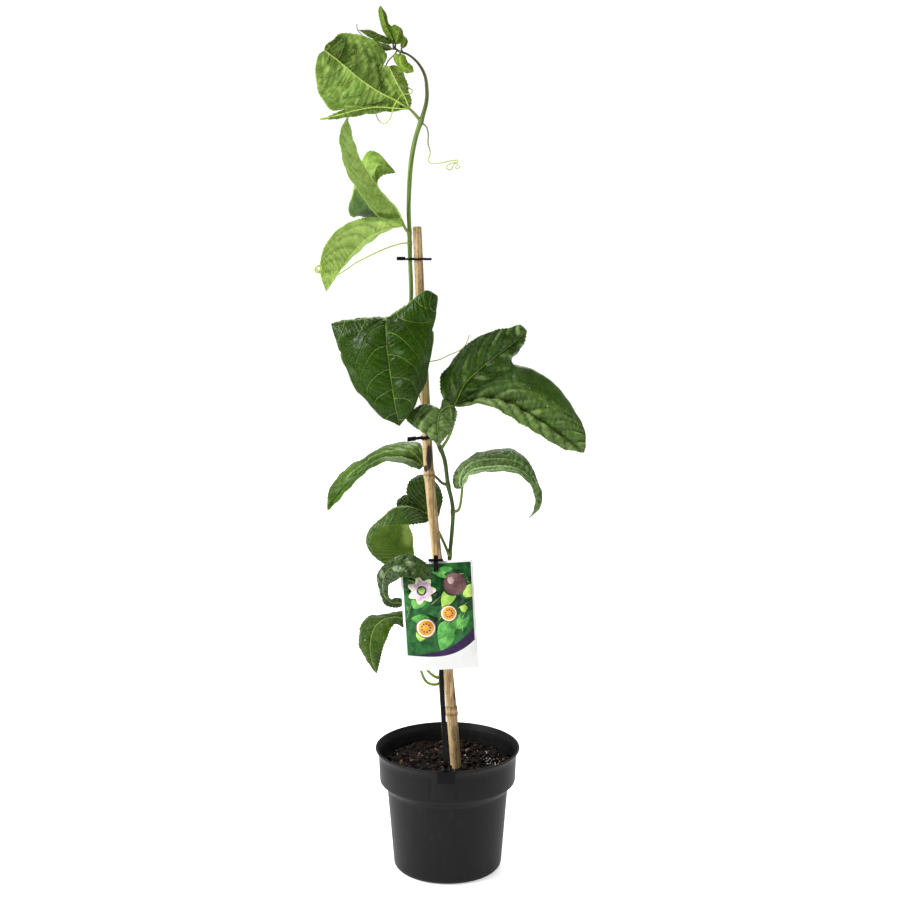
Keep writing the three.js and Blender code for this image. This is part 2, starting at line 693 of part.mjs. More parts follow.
// Both faces of a blade, alike, with a wall along its edge.
function thicken({ points, faces }, thickness) {
  const normals = points.map(() => new THREE.Vector3());
  const directed = new Set();
  for (const [a, b, c] of faces) {
    const toB = points[b].clone().sub(points[a]);
    const toC = points[c].clone().sub(points[a]);
    const normal = toB.cross(toC);
    for (const i of [a, b, c]) normals[i].add(normal);
    for (const [i, j] of [[a, b], [b, c], [c, a]]) directed.add(`${i},${j}`);
  }
  normals.forEach((n) => n.normalize());
  const count = points.length;
  const upper = points.map((p, i) => p.clone().addScaledVector(normals[i], thickness / 2));
  const lower = points.map((p, i) => p.clone().addScaledVector(normals[i], -thickness / 2));
  const all = [...faces, ...faces.map(([a, b, c]) => [a + count, c + count, b + count])];
  for (const [a, b, c] of faces) {
    for (const [i, j] of [[a, b], [b, c], [c, a]]) {
      const isEdge = !directed.has(`${j},${i}`);
      if (isEdge) all.push([j, i, i + count], [j, i + count, j + count]);
    }
  }
  return meshOf([...upper, ...lower], all);
}

// The stem, and the same stem with the seat's gap round it, which cuts all that grows from it.

const stemCurve = curveThrough(STEM_ROUTE.map(vector));

function stemRadius(share) {
  const thinning = Math.max(0, (share - STEM_THINS_FROM) / (1 - STEM_THINS_FROM)) ** 1.3;
  return between([STEM_RADIUS, STEM_TIP_RADIUS], thinning);
}

function stemTube(extra) {
  return solidOf(tube(stemCurve, evenStations(90, (share) => stemRadius(share) + extra), 8));
}

function stemSeatSolid() {
  const tip = new THREE.SphereGeometry(STEM_TIP_RADIUS + SEAT_GAP, 10, 6);
  return stemTube(SEAT_GAP).add(solidOf(tip.translate(...STEM_ROUTE.at(-1))));
}

const stemSeat = stemSeatSolid();

function petiole(form) {
  const base = vector(form.base);
  const middleLobe = form.lobes[Math.floor(form.lobes.length / 2)];
  const insideBlade = base.clone().lerp(vector(middleLobe.vein[0]), 0.4);
  const curve = curveThrough([...form.petiole.map(vector), base, insideBlade]);
  const radius = form.rows ? YOUNG_PETIOLE_RADIUS : PETIOLE_RADIUS;
  return solidOf(tube(curve, evenStations(10, (share) => radius * (1 - 0.35 * share)), 6));
}

function leaf(form) {
  const blade = solidOf(thicken(bladeSurface(form), LEAF_THICKNESS));
  return mainBody(blade.add(petiole(form)).subtract(stemSeat));
}

// Points of a coil: turns round an axis from start, moving on by pitch each turn.
function coilPoints({ start, axis, side, radius, pitch, turns }) {
  const ahead = vector(axis).normalize();
  const out = vector(side).normalize();
  const up = new THREE.Vector3().crossVectors(ahead, out);
  const centre = vector(start).addScaledVector(out, -radius);
  const steps = turns * COIL_STEPS;
  return Array.from({ length: steps }, (_, i) => {
    const turn = (2 * Math.PI * (i + 1)) / COIL_STEPS;
    const tight = radius * (1 - (COIL_TIGHTENING * (i + 1)) / steps);
    return centre.clone()
      .addScaledVector(ahead, (pitch * (i + 1)) / COIL_STEPS)
      .addScaledVector(out, tight * Math.cos(turn))
      .addScaledVector(up, tight * Math.sin(turn));
  });
}

function tendril(route, coil) {
  const points = [...route.map(vector), ...coil];
  const steps = Math.min(64, 3 * points.length);
  const stations = evenStations(steps, (share) => TENDRIL_RADIUS * (1 - 0.3 * share));
  return mainBody(solidOf(tube(curveThrough(points), stations, 5)).subtract(stemSeat));
}

// The pot: a tapered wall, a wider collar with a lip, and drain holes round a solid middle.
function pot() {
  const inside = (radius) => radius - POT_WALL;
  const lipFoot = POT_HEIGHT - LIP_HEIGHT;
  let solid = solidOf(lathe([
    [0, 0],
    [POT_BASE_RADIUS, 0],
    [POT_HEEL_RADIUS - 2, 1.5],
    [POT_HEEL_RADIUS, POT_HEEL_HEIGHT],
    [POT_NECK_RADIUS, COLLAR_FOOT - COLLAR_SLOPE],
    [COLLAR_FOOT_RADIUS, COLLAR_FOOT],
    [COLLAR_TOP_RADIUS, lipFoot - 2],
    [POT_RIM_RADIUS, lipFoot],
    [POT_RIM_RADIUS, POT_HEIGHT - 0.6],
    [POT_RIM_RADIUS - 0.6, POT_HEIGHT],
    [inside(POT_RIM_RADIUS), POT_HEIGHT],
    [inside(COLLAR_TOP_RADIUS), lipFoot - 1.5],
    [inside(COLLAR_FOOT_RADIUS), COLLAR_FOOT + 0.6],
    [inside(POT_NECK_RADIUS), COLLAR_FOOT - COLLAR_SLOPE + 0.6],
    [inside(POT_HEEL_RADIUS), POT_HEEL_HEIGHT],
    [inside(POT_HEEL_RADIUS - 2), POT_FLOOR],
    [0, POT_FLOOR],
  ], 56));
  for (let i = 0; i < DRAIN_HOLES; i += 1) {
    const angle = (2 * Math.PI * (i + 0.5)) / DRAIN_HOLES;
    const hole = new THREE.CylinderGeometry(DRAIN_HOLE_RADIUS, DRAIN_HOLE_RADIUS, 8, 12);
    hole.rotateX(Math.PI / 2);
    hole.translate(DRAIN_CIRCLE_RADIUS * Math.cos(angle), DRAIN_CIRCLE_RADIUS * Math.sin(angle), 0);
    solid = solid.subtract(solidOf(hole));
  }
  for (const x of GROOVE_PLACES) {
    const face = Math.sqrt(COLLAR_TOP_RADIUS ** 2 - x * x);
    const y = -face - GROOVE_SIZE[1] / 2 + GROOVE_DEPTH;
    solid = solid.subtract(box(GROOVE_SIZE, [x, y, COLLAR_FOOT + 2 + GROOVE_SIZE[2] / 2]));
  }
  return solid;
}

// The soil: fills the pot up to its level, with a lumpy top and a hole for the cane and the stem.
function soil() {
  const inner = (radius) => radius - POT_WALL - SEAT_GAP;
  const rings = [];
  for (let radius = SOIL_RADIUS; radius > 1; radius -= SOIL_RING) rings.push([radius, SOIL_LEVEL]);
  const geometry = lathe([
    [0, POT_FLOOR + 0.4],
    [inner(POT_HEEL_RADIUS - 2.4), POT_FLOOR + 0.4],
    [inner(POT_HEEL_RADIUS), POT_HEEL_HEIGHT],
    [inner(POT_NECK_RADIUS), COLLAR_FOOT - COLLAR_SLOPE + 1],
    [inner(COLLAR_FOOT_RADIUS), COLLAR_FOOT + 1.4],
    ...rings,
    [0, SOIL_LEVEL],
  ], 40);
  const draw = drawFrom(11);
  const lumps = Array.from({ length: SOIL_LUMPS }, () => {
    const angle = 2 * Math.PI * draw();
    const far = (SOIL_RADIUS - 2) * Math.sqrt(draw());
    const size = between(LUMP_SIZE, draw());
    return { x: far * Math.cos(angle), y: far * Math.sin(angle), size, rise: between(LUMP_RISE, draw()) };
  });
  const position = geometry.attributes.position;
  for (let i = 0; i < position.count; i += 1) {
    if (position.getZ(i) < SOIL_LEVEL - 0.01) continue;
    let rise = 0;
    for (const lump of lumps) {
      const away = Math.hypot(position.getX(i) - lump.x, position.getY(i) - lump.y) / lump.size;
      rise += lump.rise * Math.exp(-away * away);
    }
    position.setZ(i, SOIL_LEVEL + rise);
  }
  const caneSeat = cane(SEAT_GAP);
  const deeper = [0, 0, -SEAT_GAP];
  return mainBody(solidOf(geometry)
    .subtract(caneSeat).subtract(caneSeat.translate(deeper))
    .subtract(stemSeat).subtract(stemSeat.translate(deeper)));
}

// The cane: a bamboo rod, cut square at both ends.

const caneCurve = curveThrough(CANE_ROUTE.map(vector));

function cane(extra) {
  const stations = CANE_PROFILE.map(([radius, height]) => [height / CANE_LENGTH, radius + extra]);
  return solidOf(tube(caneCurve, stations, 14));
}

function pointAtHeight(curve, height) {
  const points = curve.getSpacedPoints(600);
  return points.reduce((a, b) => (Math.abs(b.z - height) < Math.abs(a.z - height) ? b : a));
}

// A belt round two circles, as a slab at a height.
function belt({ a, radiusA, b, radiusB, z, height }) {
  const heading = Math.atan2(b.y - a.y, b.x - a.x);
  const lap = Math.acos((radiusA - radiusB) / Math.hypot(b.x - a.x, b.y - a.y));
  const outline = new THREE.Shape();
  outline.absarc(a.x, a.y, radiusA, heading + lap, heading - lap + 2 * Math.PI, false);
  outline.absarc(b.x, b.y, radiusB, heading - lap, heading + lap, false);
  const form = { depth: height, bevelEnabled: false, curveSegments: 8 };
  return solidOf(new THREE.ExtrudeGeometry(outline, form).translate(0, 0, z - height / 2));
}

// A tie: a strap round cane and stem with the blocks of its buckle.
function tie({ height, strapHeight, caneRadius, blocks, slits }) {
  const a = pointAtHeight(caneCurve, height);
  const b = pointAtHeight(stemCurve, height);
  const [radiusA, radiusB] = [caneRadius + STRAP_SLACK, STEM_RADIUS + STRAP_SLACK];
  const around = (out, beltHeight) => belt({
    a, radiusA: radiusA + out, b, radiusB: radiusB + out, z: height, height: beltHeight,
  });
  let solid = around(STRAP_THICKNESS, strapHeight).subtract(around(0, strapHeight + 2));
  for (const { size, at } of blocks) solid = solid.add(box(size, at));
  for (const { size, at } of slits) solid = solid.subtract(box(size, at));
  return mainBody(solid.subtract(stemSeat).subtract(cane(SEAT_GAP)));
}

// The label: a card turned a little, on a black stake that hooks over the pot's rim.
function card() {
  return solidOf(new THREE.BoxGeometry(...CARD_SIZE).rotateY(CARD_TILT).translate(...CARD_CENTRE));
}

function stake() {
  const half = CARD_SIZE[1] / 2 + SEAT_GAP;
  const [front, back] = [CARD_CENTRE[1] - half, CARD_CENTRE[1] + half];
  const outline = new THREE.Shape([
    new THREE.Vector2(STAKE_EDGES.topLeft, STAKE_TOP),
    new THREE.Vector2(STAKE_EDGES.topRight, STAKE_TOP),
    new THREE.Vector2(STAKE_EDGES.footRight, STAKE_FOOT),
    new THREE.Vector2(STAKE_EDGES.footLeft, STAKE_FOOT),
  ]);
  const strip = new THREE.ExtrudeGeometry(outline, { depth: STAKE_THICKNESS, bevelEnabled: false });
  strip.rotateX(Math.PI / 2).translate(0, back + STAKE_THICKNESS, 0);
  const { x, width, length, crossWidth, crossHeight, crossDrop } = TONGUE;
  const tongueY = front - STAKE_THICKNESS / 2;
  const bridge = [x, (back + front) / 2, STAKE_TOP - STAKE_THICKNESS / 2];
  const clipTop = POT_HEIGHT + SEAT_GAP + STAKE_THICKNESS;
  const clipY = -POT_RIM_RADIUS - SEAT_GAP - STAKE_THICKNESS / 2;
  return solidOf(strip)
    .add(box([width, STAKE_THICKNESS, length], [x, tongueY, STAKE_TOP - length / 2]))
    .add(box([width, back - front + 2 * STAKE_THICKNESS, STAKE_THICKNESS], bridge))
    .add(box([crossWidth, STAKE_THICKNESS, crossHeight], [x, tongueY, STAKE_TOP - crossDrop]))
    .add(box([CLIP.width, STAKE_THICKNESS, CLIP.height], [CLIP.x, clipY, clipTop - CLIP.height / 2]))
    .add(box(
      [CLIP.reach - 3, CLIP.reach, STAKE_THICKNESS],
      [CLIP.x, clipY - STAKE_THICKNESS / 2 + CLIP.reach / 2, clipTop - STAKE_THICKNESS / 2],
    ));
}

// Finishes.

function finish(color, roughness) {
  return new THREE.MeshStandardMaterial({ color, roughness, metalness: 0 });
}

const finishes = {
  pot: finish('#2b2c2e', 0.55),
  soil: finish('#3a271c', 0.95),
  cane: finish('#cfab78', 0.6),
  stem: finish('#5d8232', 0.5),
  leaf: finish('#3c6b26', 0.45),
  youngLeaf: finish('#6f9a35', 0.5),
  tendril: finish('#9bb243', 0.5),
  card: finish('#f4f4f0', 0.35),
  black: finish('#17181a', 0.45),
};

const vine = new THREE.Group();

function place(name, solid, material) {
  const mesh = new THREE.Mesh(geometryOf(solid), material);
  mesh.name = name;
  vine.add(mesh);
}

place('pot', pot(), finishes.pot);
place('soil', soil(), finishes.soil);
place('cane', cane(0), finishes.cane);
place('vine_stem', stemTube(0), finishes.stem);
place('label_card', card(), finishes.card);
place('label_stake', stake(), finishes.black);
for (const [name, form] of Object.entries(TIES)) place(name, tie(form), finishes.black);
for (const [name, form] of Object.entries(LEAVES)) {
  place(name, leaf(form), form.rows ? finishes.youngLeaf : finishes.leaf);
}
for (const [name, route] of Object.entries(TENDRILS)) {
  const coil = COILS[name] ? coilPoints(COILS[name]) : [];
  place(name, tendril(route, coil), finishes.tendril);
}

export default vine;
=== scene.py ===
"""A passion flower vine on a cane in its nursery pot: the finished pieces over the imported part.

The frame is the part's own, in metres, with +Z up, the origin under the middle of the pot and the
label on the -Y side. Routes, sizes and places are written in millimetres.
"""

from __future__ import annotations

import logging
import math
import random
from dataclasses import dataclass, field, replace
from enum import Enum
from functools import cache
from typing import Any, Iterable, Sequence

import bmesh
import bpy
import numpy as np
from mathutils import Matrix, Vector, noise


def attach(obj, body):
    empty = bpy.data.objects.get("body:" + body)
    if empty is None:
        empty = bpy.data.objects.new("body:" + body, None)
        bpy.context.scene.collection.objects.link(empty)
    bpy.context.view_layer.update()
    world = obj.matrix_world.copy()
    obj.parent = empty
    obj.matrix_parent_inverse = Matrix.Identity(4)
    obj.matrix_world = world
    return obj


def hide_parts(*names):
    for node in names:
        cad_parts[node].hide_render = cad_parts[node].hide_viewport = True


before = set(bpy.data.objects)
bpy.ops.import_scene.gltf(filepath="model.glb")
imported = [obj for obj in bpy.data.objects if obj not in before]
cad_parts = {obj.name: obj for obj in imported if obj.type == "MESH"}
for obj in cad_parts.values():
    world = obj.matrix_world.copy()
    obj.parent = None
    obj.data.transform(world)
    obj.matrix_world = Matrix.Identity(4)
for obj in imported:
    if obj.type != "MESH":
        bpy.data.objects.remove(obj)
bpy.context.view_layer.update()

Array = np.ndarray
Point = tuple[float, float, float]
Colour = tuple[float, float, float, float]
Socket = Any
Faces = list[list[int]]
Solid = tuple[Array, Faces]
Object = bpy.types.Object
Material = bpy.types.Material

MM = 0.001

SOIL_LEVEL = 105 * MM
STEM_RADIUS = 1.9 * MM
STEM_TIP_RADIUS = 1.1 * MM

GRAIN_TURN = Matrix.Rotation(0.7, 3, Vector((1.0, 2.0, 3.0)))

log = logging.getLogger("vine")


# Points, curves and meshes.


def metres(points: Iterable[Sequence[float]]) -> Array:
    """Turns points in millimetres into an array in metres."""
    return np.array([list(p) for p in points], dtype=float) * MM


def unit(vectors: Array) -> Array:
    """Scales each row to length one."""
    return vectors / np.maximum(np.linalg.norm(vectors, axis=-1, keepdims=True), 1e-12)


def smooth_step(low: float, high: float, value: Array) -> Array:
    """Rises smoothly from 0 at low to 1 at high."""
    share = np.clip((value - low) / (high - low), 0, 1)
    return share * share * (3 - 2 * share)


def grain(point: Sequence[float], scale: float) -> float:
    """A noise value at a point, at a scale in cells a metre, with its cells off the axes."""
    return noise.noise(GRAIN_TURN @ Vector(point) * scale)


def linear(hex_colour: str) -> Colour:
    """Turns a display colour such as "#3c6b26" into the linear colour that a shader takes."""
    channels = [int(hex_colour[i : i + 2], 16) / 255 for i in (1, 3, 5)]
    return (*(c / 12.92 if c <= 0.04045 else ((c + 0.055) / 1.055) ** 2.4 for c in channels), 1.0)


def spline(points: Array, count: int) -> Array:
    """Samples a centripetal Catmull-Rom curve through points, evenly along its length.

    Args:
        points: The points that the curve passes through, one a row.
        count: How many samples to take, with both ends.

    Returns:
        The samples, one a row.
    """
    padded = np.vstack([2 * points[0] - points[1], points, 2 * points[-1] - points[-2]])
    share = np.linspace(0, 1, 24, endpoint=False)[:, None]
    dense = []
    for before, start, end, after in zip(padded, padded[1:], padded[2:], padded[3:]):
        gaps = (start - before, end - start, after - end)
        first, here, last = (max(math.sqrt(np.linalg.norm(gap)), 1e-6) for gap in gaps)
        leaving = here * (gaps[0] / first - (end - before) / (first + here) + gaps[1] / here)
        arriving = here * (gaps[1] / here - (after - start) / (here + last) + gaps[2] / last)
        cube = 2 * (start - end) + leaving + arriving
        square = 3 * (end - start) - 2 * leaving - arriving
        dense.append(start + share * (leaving + share * (square + share * cube)))
    curve = np.vstack([*dense, points[-1:]])
    along = lengths(curve)
    stops = np.linspace(0, along[-1], count)
    return np.column_stack([np.interp(stops, along, curve[:, k]) for k in range(3)])


def lengths(route: Array) -> Array:
    """The distance along a route at each of its points."""
    return np.concatenate([[0], np.cumsum(np.linalg.norm(np.diff(route, axis=0), axis=1))])


def round_turns(count: int) -> Array:
    """Angles evenly round a circle."""
    return np.arange(count) * 2 * math.pi / count


def round_line(centre: Sequence[float], reach: Any, turns: Array) -> Array:
    """Flat points round a centre, at one distance or at a distance for each angle."""
    return np.column_stack([centre[0] + reach * np.cos(turns), centre[1] + reach * np.sin(turns)])


def ring_faces(rings: int, sides: int, closed: bool = False) -> Faces:
    """The faces between rings of points.

    Args:
        rings: How many rings there are.
        sides: How many points a ring has.
        closed: Whether the last ring joins the first.

    Returns:
        The faces.
    """
    faces = []
    for i in range(rings - (not closed)):
        for j in range(sides):
            k, above = (j + 1) % sides, (i + 1) % rings * sides
            faces.append([i * sides + j, i * sides + k, above + k, above + j])
    return faces


def end_faces(rings: int, sides: int) -> Faces:
    """The two faces that close a row of rings."""
    last = (rings - 1) * sides
    return [list(range(sides))[::-1], list(range(last, last + sides))]


def taken(body: bmesh.types.BMesh) -> Solid:
    """Takes a loose mesh apart.

    Args:
        body: The mesh, which is freed.

    Returns:
        Its points and faces.
    """
    points = np.array([v.co[:] for v in body.verts])
    faces = [[v.index for v in f.verts] for f in body.faces]
    body.free()
    return points, faces


def placed(name: str, data: Any) -> Object:
    """Puts data in the scene.

    Args:
        name: The object's name.
        data: Its mesh, lamp or camera.

    Returns:
        The object.
    """
    made = bpy.data.objects.new(name, data)
    bpy.context.scene.collection.objects.link(made)
    return made


def poured(name: str, body: bmesh.types.BMesh) -> Object:
    """Puts a loose mesh in the scene.

    Args:
        name: The object's name.
        body: The mesh, which is freed.

    Returns:
        The object.
    """
    mesh = bpy.data.meshes.new(name)
    body.to_mesh(mesh)
    body.free()
    return placed(name, mesh)


def sweep_frames(route: Array) -> tuple[Array, Array]:
    """Two directions across a route at each point, carried along it without twist.

    Args:
        route: The route's points, one a row.

    Returns:
        The first and the second direction across, one a row each.
    """
    along = unit(np.gradient(route, axis=0))
    normal = np.array([0.6, 0.8, 0.05])
    first = []
    for direction in along:
        normal = unit(normal - normal.dot(direction) * direction)
        first.append(normal)
    first = np.array(first)
    return first, np.cross(along, first)


@dataclass
class Form:
    """A mesh in the making, with a finish number and places on the finish for each face."""

    points: list[Array] = field(default_factory=list)
    faces: Faces = field(default_factory=list)
    marks: list[int] = field(default_factory=list)
    places: list[Array] = field(default_factory=list)
    count: int = 0

    def add(self, points: Array, faces: Faces, mark: int = 0, places: Array | None = None) -> None:
        """Adds a batch of points and its faces.

        Args:
            points: The points, one a row.
            faces: Faces as numbers of these points, from 0.
            mark: The faces' place in the piece's list of materials.
            places: Three pairs of surface coordinates for each corner, or None for zeros.
        """
        self.faces += [[i + self.count for i in face] for face in faces]
        self.marks += [mark] * len(faces)
        corners = sum(len(face) for face in faces)
        self.places.append(np.zeros((corners, 6)) if places is None else places)
        self.points.append(points)
        self.count += len(points)

    def piece(self, name: str, materials: Iterable[Material], slot: str, *nodes: str) -> Object:
        """Makes the piece, rides it on the part and reports it.

        Args:
            name: The piece's name.
            materials: The materials that the faces' marks count through.
            slot: The record's material slot; not used.
            nodes: The nodes that the piece stands for.

        Returns:
            The new object.
        """
        mesh = bpy.data.meshes.new(name)
        mesh.from_pydata(np.vstack(self.points).tolist(), [], self.faces)
        pairs = np.split(np.vstack(self.places).astype(np.float32), 3, axis=1)
        for layer, columns in zip(("blade", "veins", "bloom_and_painted_light"), pairs):
            mesh.uv_layers.new(name=layer).uv.foreach_set("vector", columns.ravel())
        mesh.polygons.foreach_set("material_index", self.marks)
        for material in materials:
            mesh.materials.append(material)
        mesh.shade_smooth()
        piece = placed(name, mesh)
        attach(piece, "root")
        if nodes:
            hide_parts(*nodes)
        log.info("%s: %d faces", name, len(mesh.polygons))
        return piece


def tube(
    route: Array, radii: Array, sides: int, mark: int = 0, lobing: float = 0.0
) -> tuple[Array, Faces, int, Array]:
    """A closed tube along a route, as a batch for a form.

    Args:
        route: The middle of the tube, one point a row.
        radii: The radius at each point.
        sides: How many sides the tube has.
        mark: Its place in the piece's list of materials.
        lobing: How deep five shallow grooves along it are, as a share of the radius.

    Returns:
        Points, faces, mark, and surface coordinates: turn round the tube and metres along it.
    """
    first, second = sweep_frames(route)
    turn = round_turns(sides)
    ring = radii[:, None] * (1 + lobing * np.cos(5 * turn))[None, :]
    points = (
        route[:, None]
        + (ring * np.cos(turn))[..., None] * first[:, None]
        + (ring * np.sin(turn))[..., None] * second[:, None]
    ).reshape(-1, 3)
    along = lengths(route)
    places = []
    for low, high in zip(along, along[1:]):
        for j in range(sides):
            near, far = j / sides, (j + 1) / sides
            places += [(near, low), (far, low), (far, high), (near, high)]
    places += [(0, 0)] * sides + [(0, along[-1])] * sides
    faces = ring_faces(len(route), sides) + end_faces(len(route), sides)
    return points, faces, mark, np.pad(np.array(places), ((0, 0), (0, 4)))


def lathe(profile: Array, turns: Array) -> Solid:
    """A closed body turned about the Z axis.

    Args:
        profile: [radius, height] rows whose first and last rows lie on the axis.
        turns: The angles of the profile's places round the axis.

    Returns:
        Points and faces.
    """
    inner = profile[1:-1]
    ring = np.stack([np.outer(np.cos(turns), inner[:, 0]), np.outer(np.sin(turns), inner[:, 0])], axis=-1)
    heights = np.broadcast_to(inner[:, 1], ring.shape[:2])[..., None]
    points = np.concatenate([ring, heights], axis=-1).reshape(-1, 3)
    steps = len(inner)
    low, high = len(points), len(points) + 1
    points = np.vstack([points, [0, 0, profile[0, 1]], [0, 0, profile[-1, 1]]])
    faces = []
    for i in range(len(turns)):
        here, there = i * steps, (i + 1) % len(turns) * steps
        faces += [[here + j, there + j, there + j + 1, here + j + 1] for j in range(steps - 1)]
        faces += [[low, there, here], [high, here + steps - 1, there + steps - 1]]
    return points, faces


def bevelled(body: bmesh.types.BMesh, offset: float) -> Solid:
    """Rounds the edges of a loose mesh and takes its points and faces."""
    bmesh.ops.bevel(body, geom=body.edges[:], offset=offset, segments=3, profile=0.6, affect="EDGES")
    return taken(body)


@dataclass(frozen=True)
class Block:
    """A moulded block with its size and its middle, in millimetres."""

    size: Point
    at: Point

    def solid(self, bevel: float) -> Solid:
        """Makes the block.

        Args:
            bevel: How far its edges are rounded.

        Returns:
            Points and faces, in metres.
        """
        body = bmesh.new()
        place = Matrix.Translation(self.at) @ Matrix.Diagonal((*self.size, 1.0))
        bmesh.ops.create_cube(body, size=1.0, matrix=place)
        points, faces = bevelled(body, bevel)
        return points * MM, faces


def slab(outline: Array, low: float, high: float) -> Solid:
    """A flat outline raised between two heights.

    Args:
        outline: The corners, [x, y] rows, anticlockwise.
        low: The height of its underside.
        high: The height of its top.

    Returns:
        Points and faces.
    """
    count = len(outline)
    points = np.vstack([np.column_stack([outline, np.full(count, z)]) for z in (low, high)])
    faces = [list(range(count))[::-1], list(range(count, 2 * count))]
    faces += [[i, (i + 1) % count, (i + 1) % count + count, i + count] for i in range(count)]
    return points, faces


# Finishes.


class Shader:
    """The nodes of a material or a world, with short calls for those that the finishes share."""

    def __init__(self, owner: Material | bpy.types.World) -> None:
        """Starts the nodes.

        Args:
            owner: The material or the world.
        """
        owner.use_nodes = True
        self.owner, self.tree = owner, owner.node_tree
        self.place = self.node("TexCoord").outputs["Object"]

    def node(self, kind: str, inputs: dict[Any, Any] | None = None, **settings: Any) -> bpy.types.Node:
        """Adds a node.

        Args:
            kind: Its kind.
            inputs: What its sockets take, by their names or numbers.
            settings: Its settings.

        Returns:
            The node.
        """
        made = self.tree.nodes.new(f"ShaderNode{kind}")
        for key, value in settings.items():
            setattr(made, key, value)
        for key, value in (inputs or {}).items():
            self.feed(made.inputs[key], value)
        return made

    def feed(self, socket: Socket, value: Any) -> None:
        """Gives a socket what it takes.

        Args:
            socket: The socket.
            value: Another socket to link, a value, or a display colour as a string.
        """
        if isinstance(value, bpy.types.NodeSocket):
            self.tree.links.new(value, socket)
        else:
            socket.default_value = linear(value) if isinstance(value, str) else value

    def math(self, operation: str, *values: Any, clamp: bool = False) -> Socket:
        """A Math node's result."""
        made = self.node("Math", dict(enumerate(values)), operation=operation, use_clamp=clamp)
        return made.outputs[0]

    def times(self, first: Any, second: Any, clamp: bool = False) -> Socket:
        """The product of two values."""
        return self.math("MULTIPLY", first, second, clamp=clamp)

    def plus(self, first: Any, second: Any) -> Socket:
        """The sum of two values."""
        return self.math("ADD", first, second)

    def minus(self, first: Any, second: Any) -> Socket:
        """The first value less the second."""
        return self.math("SUBTRACT", first, second)

    def span(self, value: Any, low: float, high: float, start: float = 0.0, end: float = 1.0) -> Socket:
        """Maps a value smoothly from the range low to high onto start to end."""
        inputs = dict(enumerate((value, low, high, start, end)))
        return self.node("MapRange", inputs, interpolation_type="SMOOTHSTEP").outputs[0]

    def mix(self, share: Any, first: Any, second: Any, blend: str = "MIX") -> Socket:
        """Mixes two colours."""
        inputs = {0: share, 6: first, 7: second}
        return self.node("Mix", inputs, data_type="RGBA", blend_type=blend).outputs[2]

    def noise(self, scale: float, detail: float = 3.0, roughness: float = 0.55, place: Any = None) -> Socket:
        """A noise value at a scale, in cells a metre."""
        inputs = {"Vector": place or self.place, "Scale": scale, "Detail": detail, "Roughness": roughness}
        return self.node("TexNoise", inputs).outputs["Fac"]

    def cells(self, scale: float, feature: str) -> Socket:
        """A cell pattern's distances at a scale, in cells a metre."""
        inputs = {"Vector": self.place, "Scale": scale}
        return self.node("TexVoronoi", inputs, feature=feature).outputs["Distance"]

    def stretched(self, scale: Point) -> Socket:
        """Places scaled by a factor on each axis."""
        return self.node("Mapping", {"Vector": self.place, "Scale": scale}).outputs[0]

    def parts(self, vector: Socket) -> Sequence[Socket]:
        """The three parts of a vector."""
        return self.node("SeparateXYZ", {0: vector}).outputs

    def pair(self, layer: str) -> Sequence[Socket]:
        """The two surface coordinates of a layer."""
        return self.parts(self.node("UVMap", uv_map=layer).outputs[0])[:2]

    def heights(self) -> Socket:
        """The height of a place above the ground, in metres."""
        return self.parts(self.place)[2]

    def facing(self) -> Sequence[Socket]:
        """The three parts of the surface's direction."""
        return self.parts(self.node("TexCoord").outputs["Normal"])

    def bump(self, height: Any, distance: float, normal: Any = None) -> Socket:
        """A normal bent by a height map, whose full height is the distance."""
        bent = {} if normal is None else {"Normal": normal}
        return self.node("Bump", {"Distance": distance, "Height": height, **bent}).outputs[0]

    def dress(self, colour: Any, roughness: Any, normal: Any = None, **constants: Any) -> Material:
        """Connects the surface and returns the material.

        Args:
            colour: The base colour.
            roughness: The roughness.
            normal: The bent normal, if any.
            constants: More of the shader's own settings, with _ for a space in their names.

        Returns:
            The finished material.
        """
        inputs = self.tree.nodes["Principled BSDF"].inputs
        self.feed(inputs["Base Color"], colour)
        self.feed(inputs["Roughness"], roughness)
        if normal is not None:
            self.feed(inputs["Normal"], normal)
        for key, value in constants.items():
            inputs[key.replace("_", " ")].default_value = value
        return self.owner


class Face(Enum):
    """The two faces of a leaf."""

    UPPER = "upper"
    UNDER = "under"


@dataclass(frozen=True)
class Tones:
    """The colours of a face of a leaf: the main one, a paler one that it varies towards, and the veins'."""

    main: str
    pale: str
    vein: str


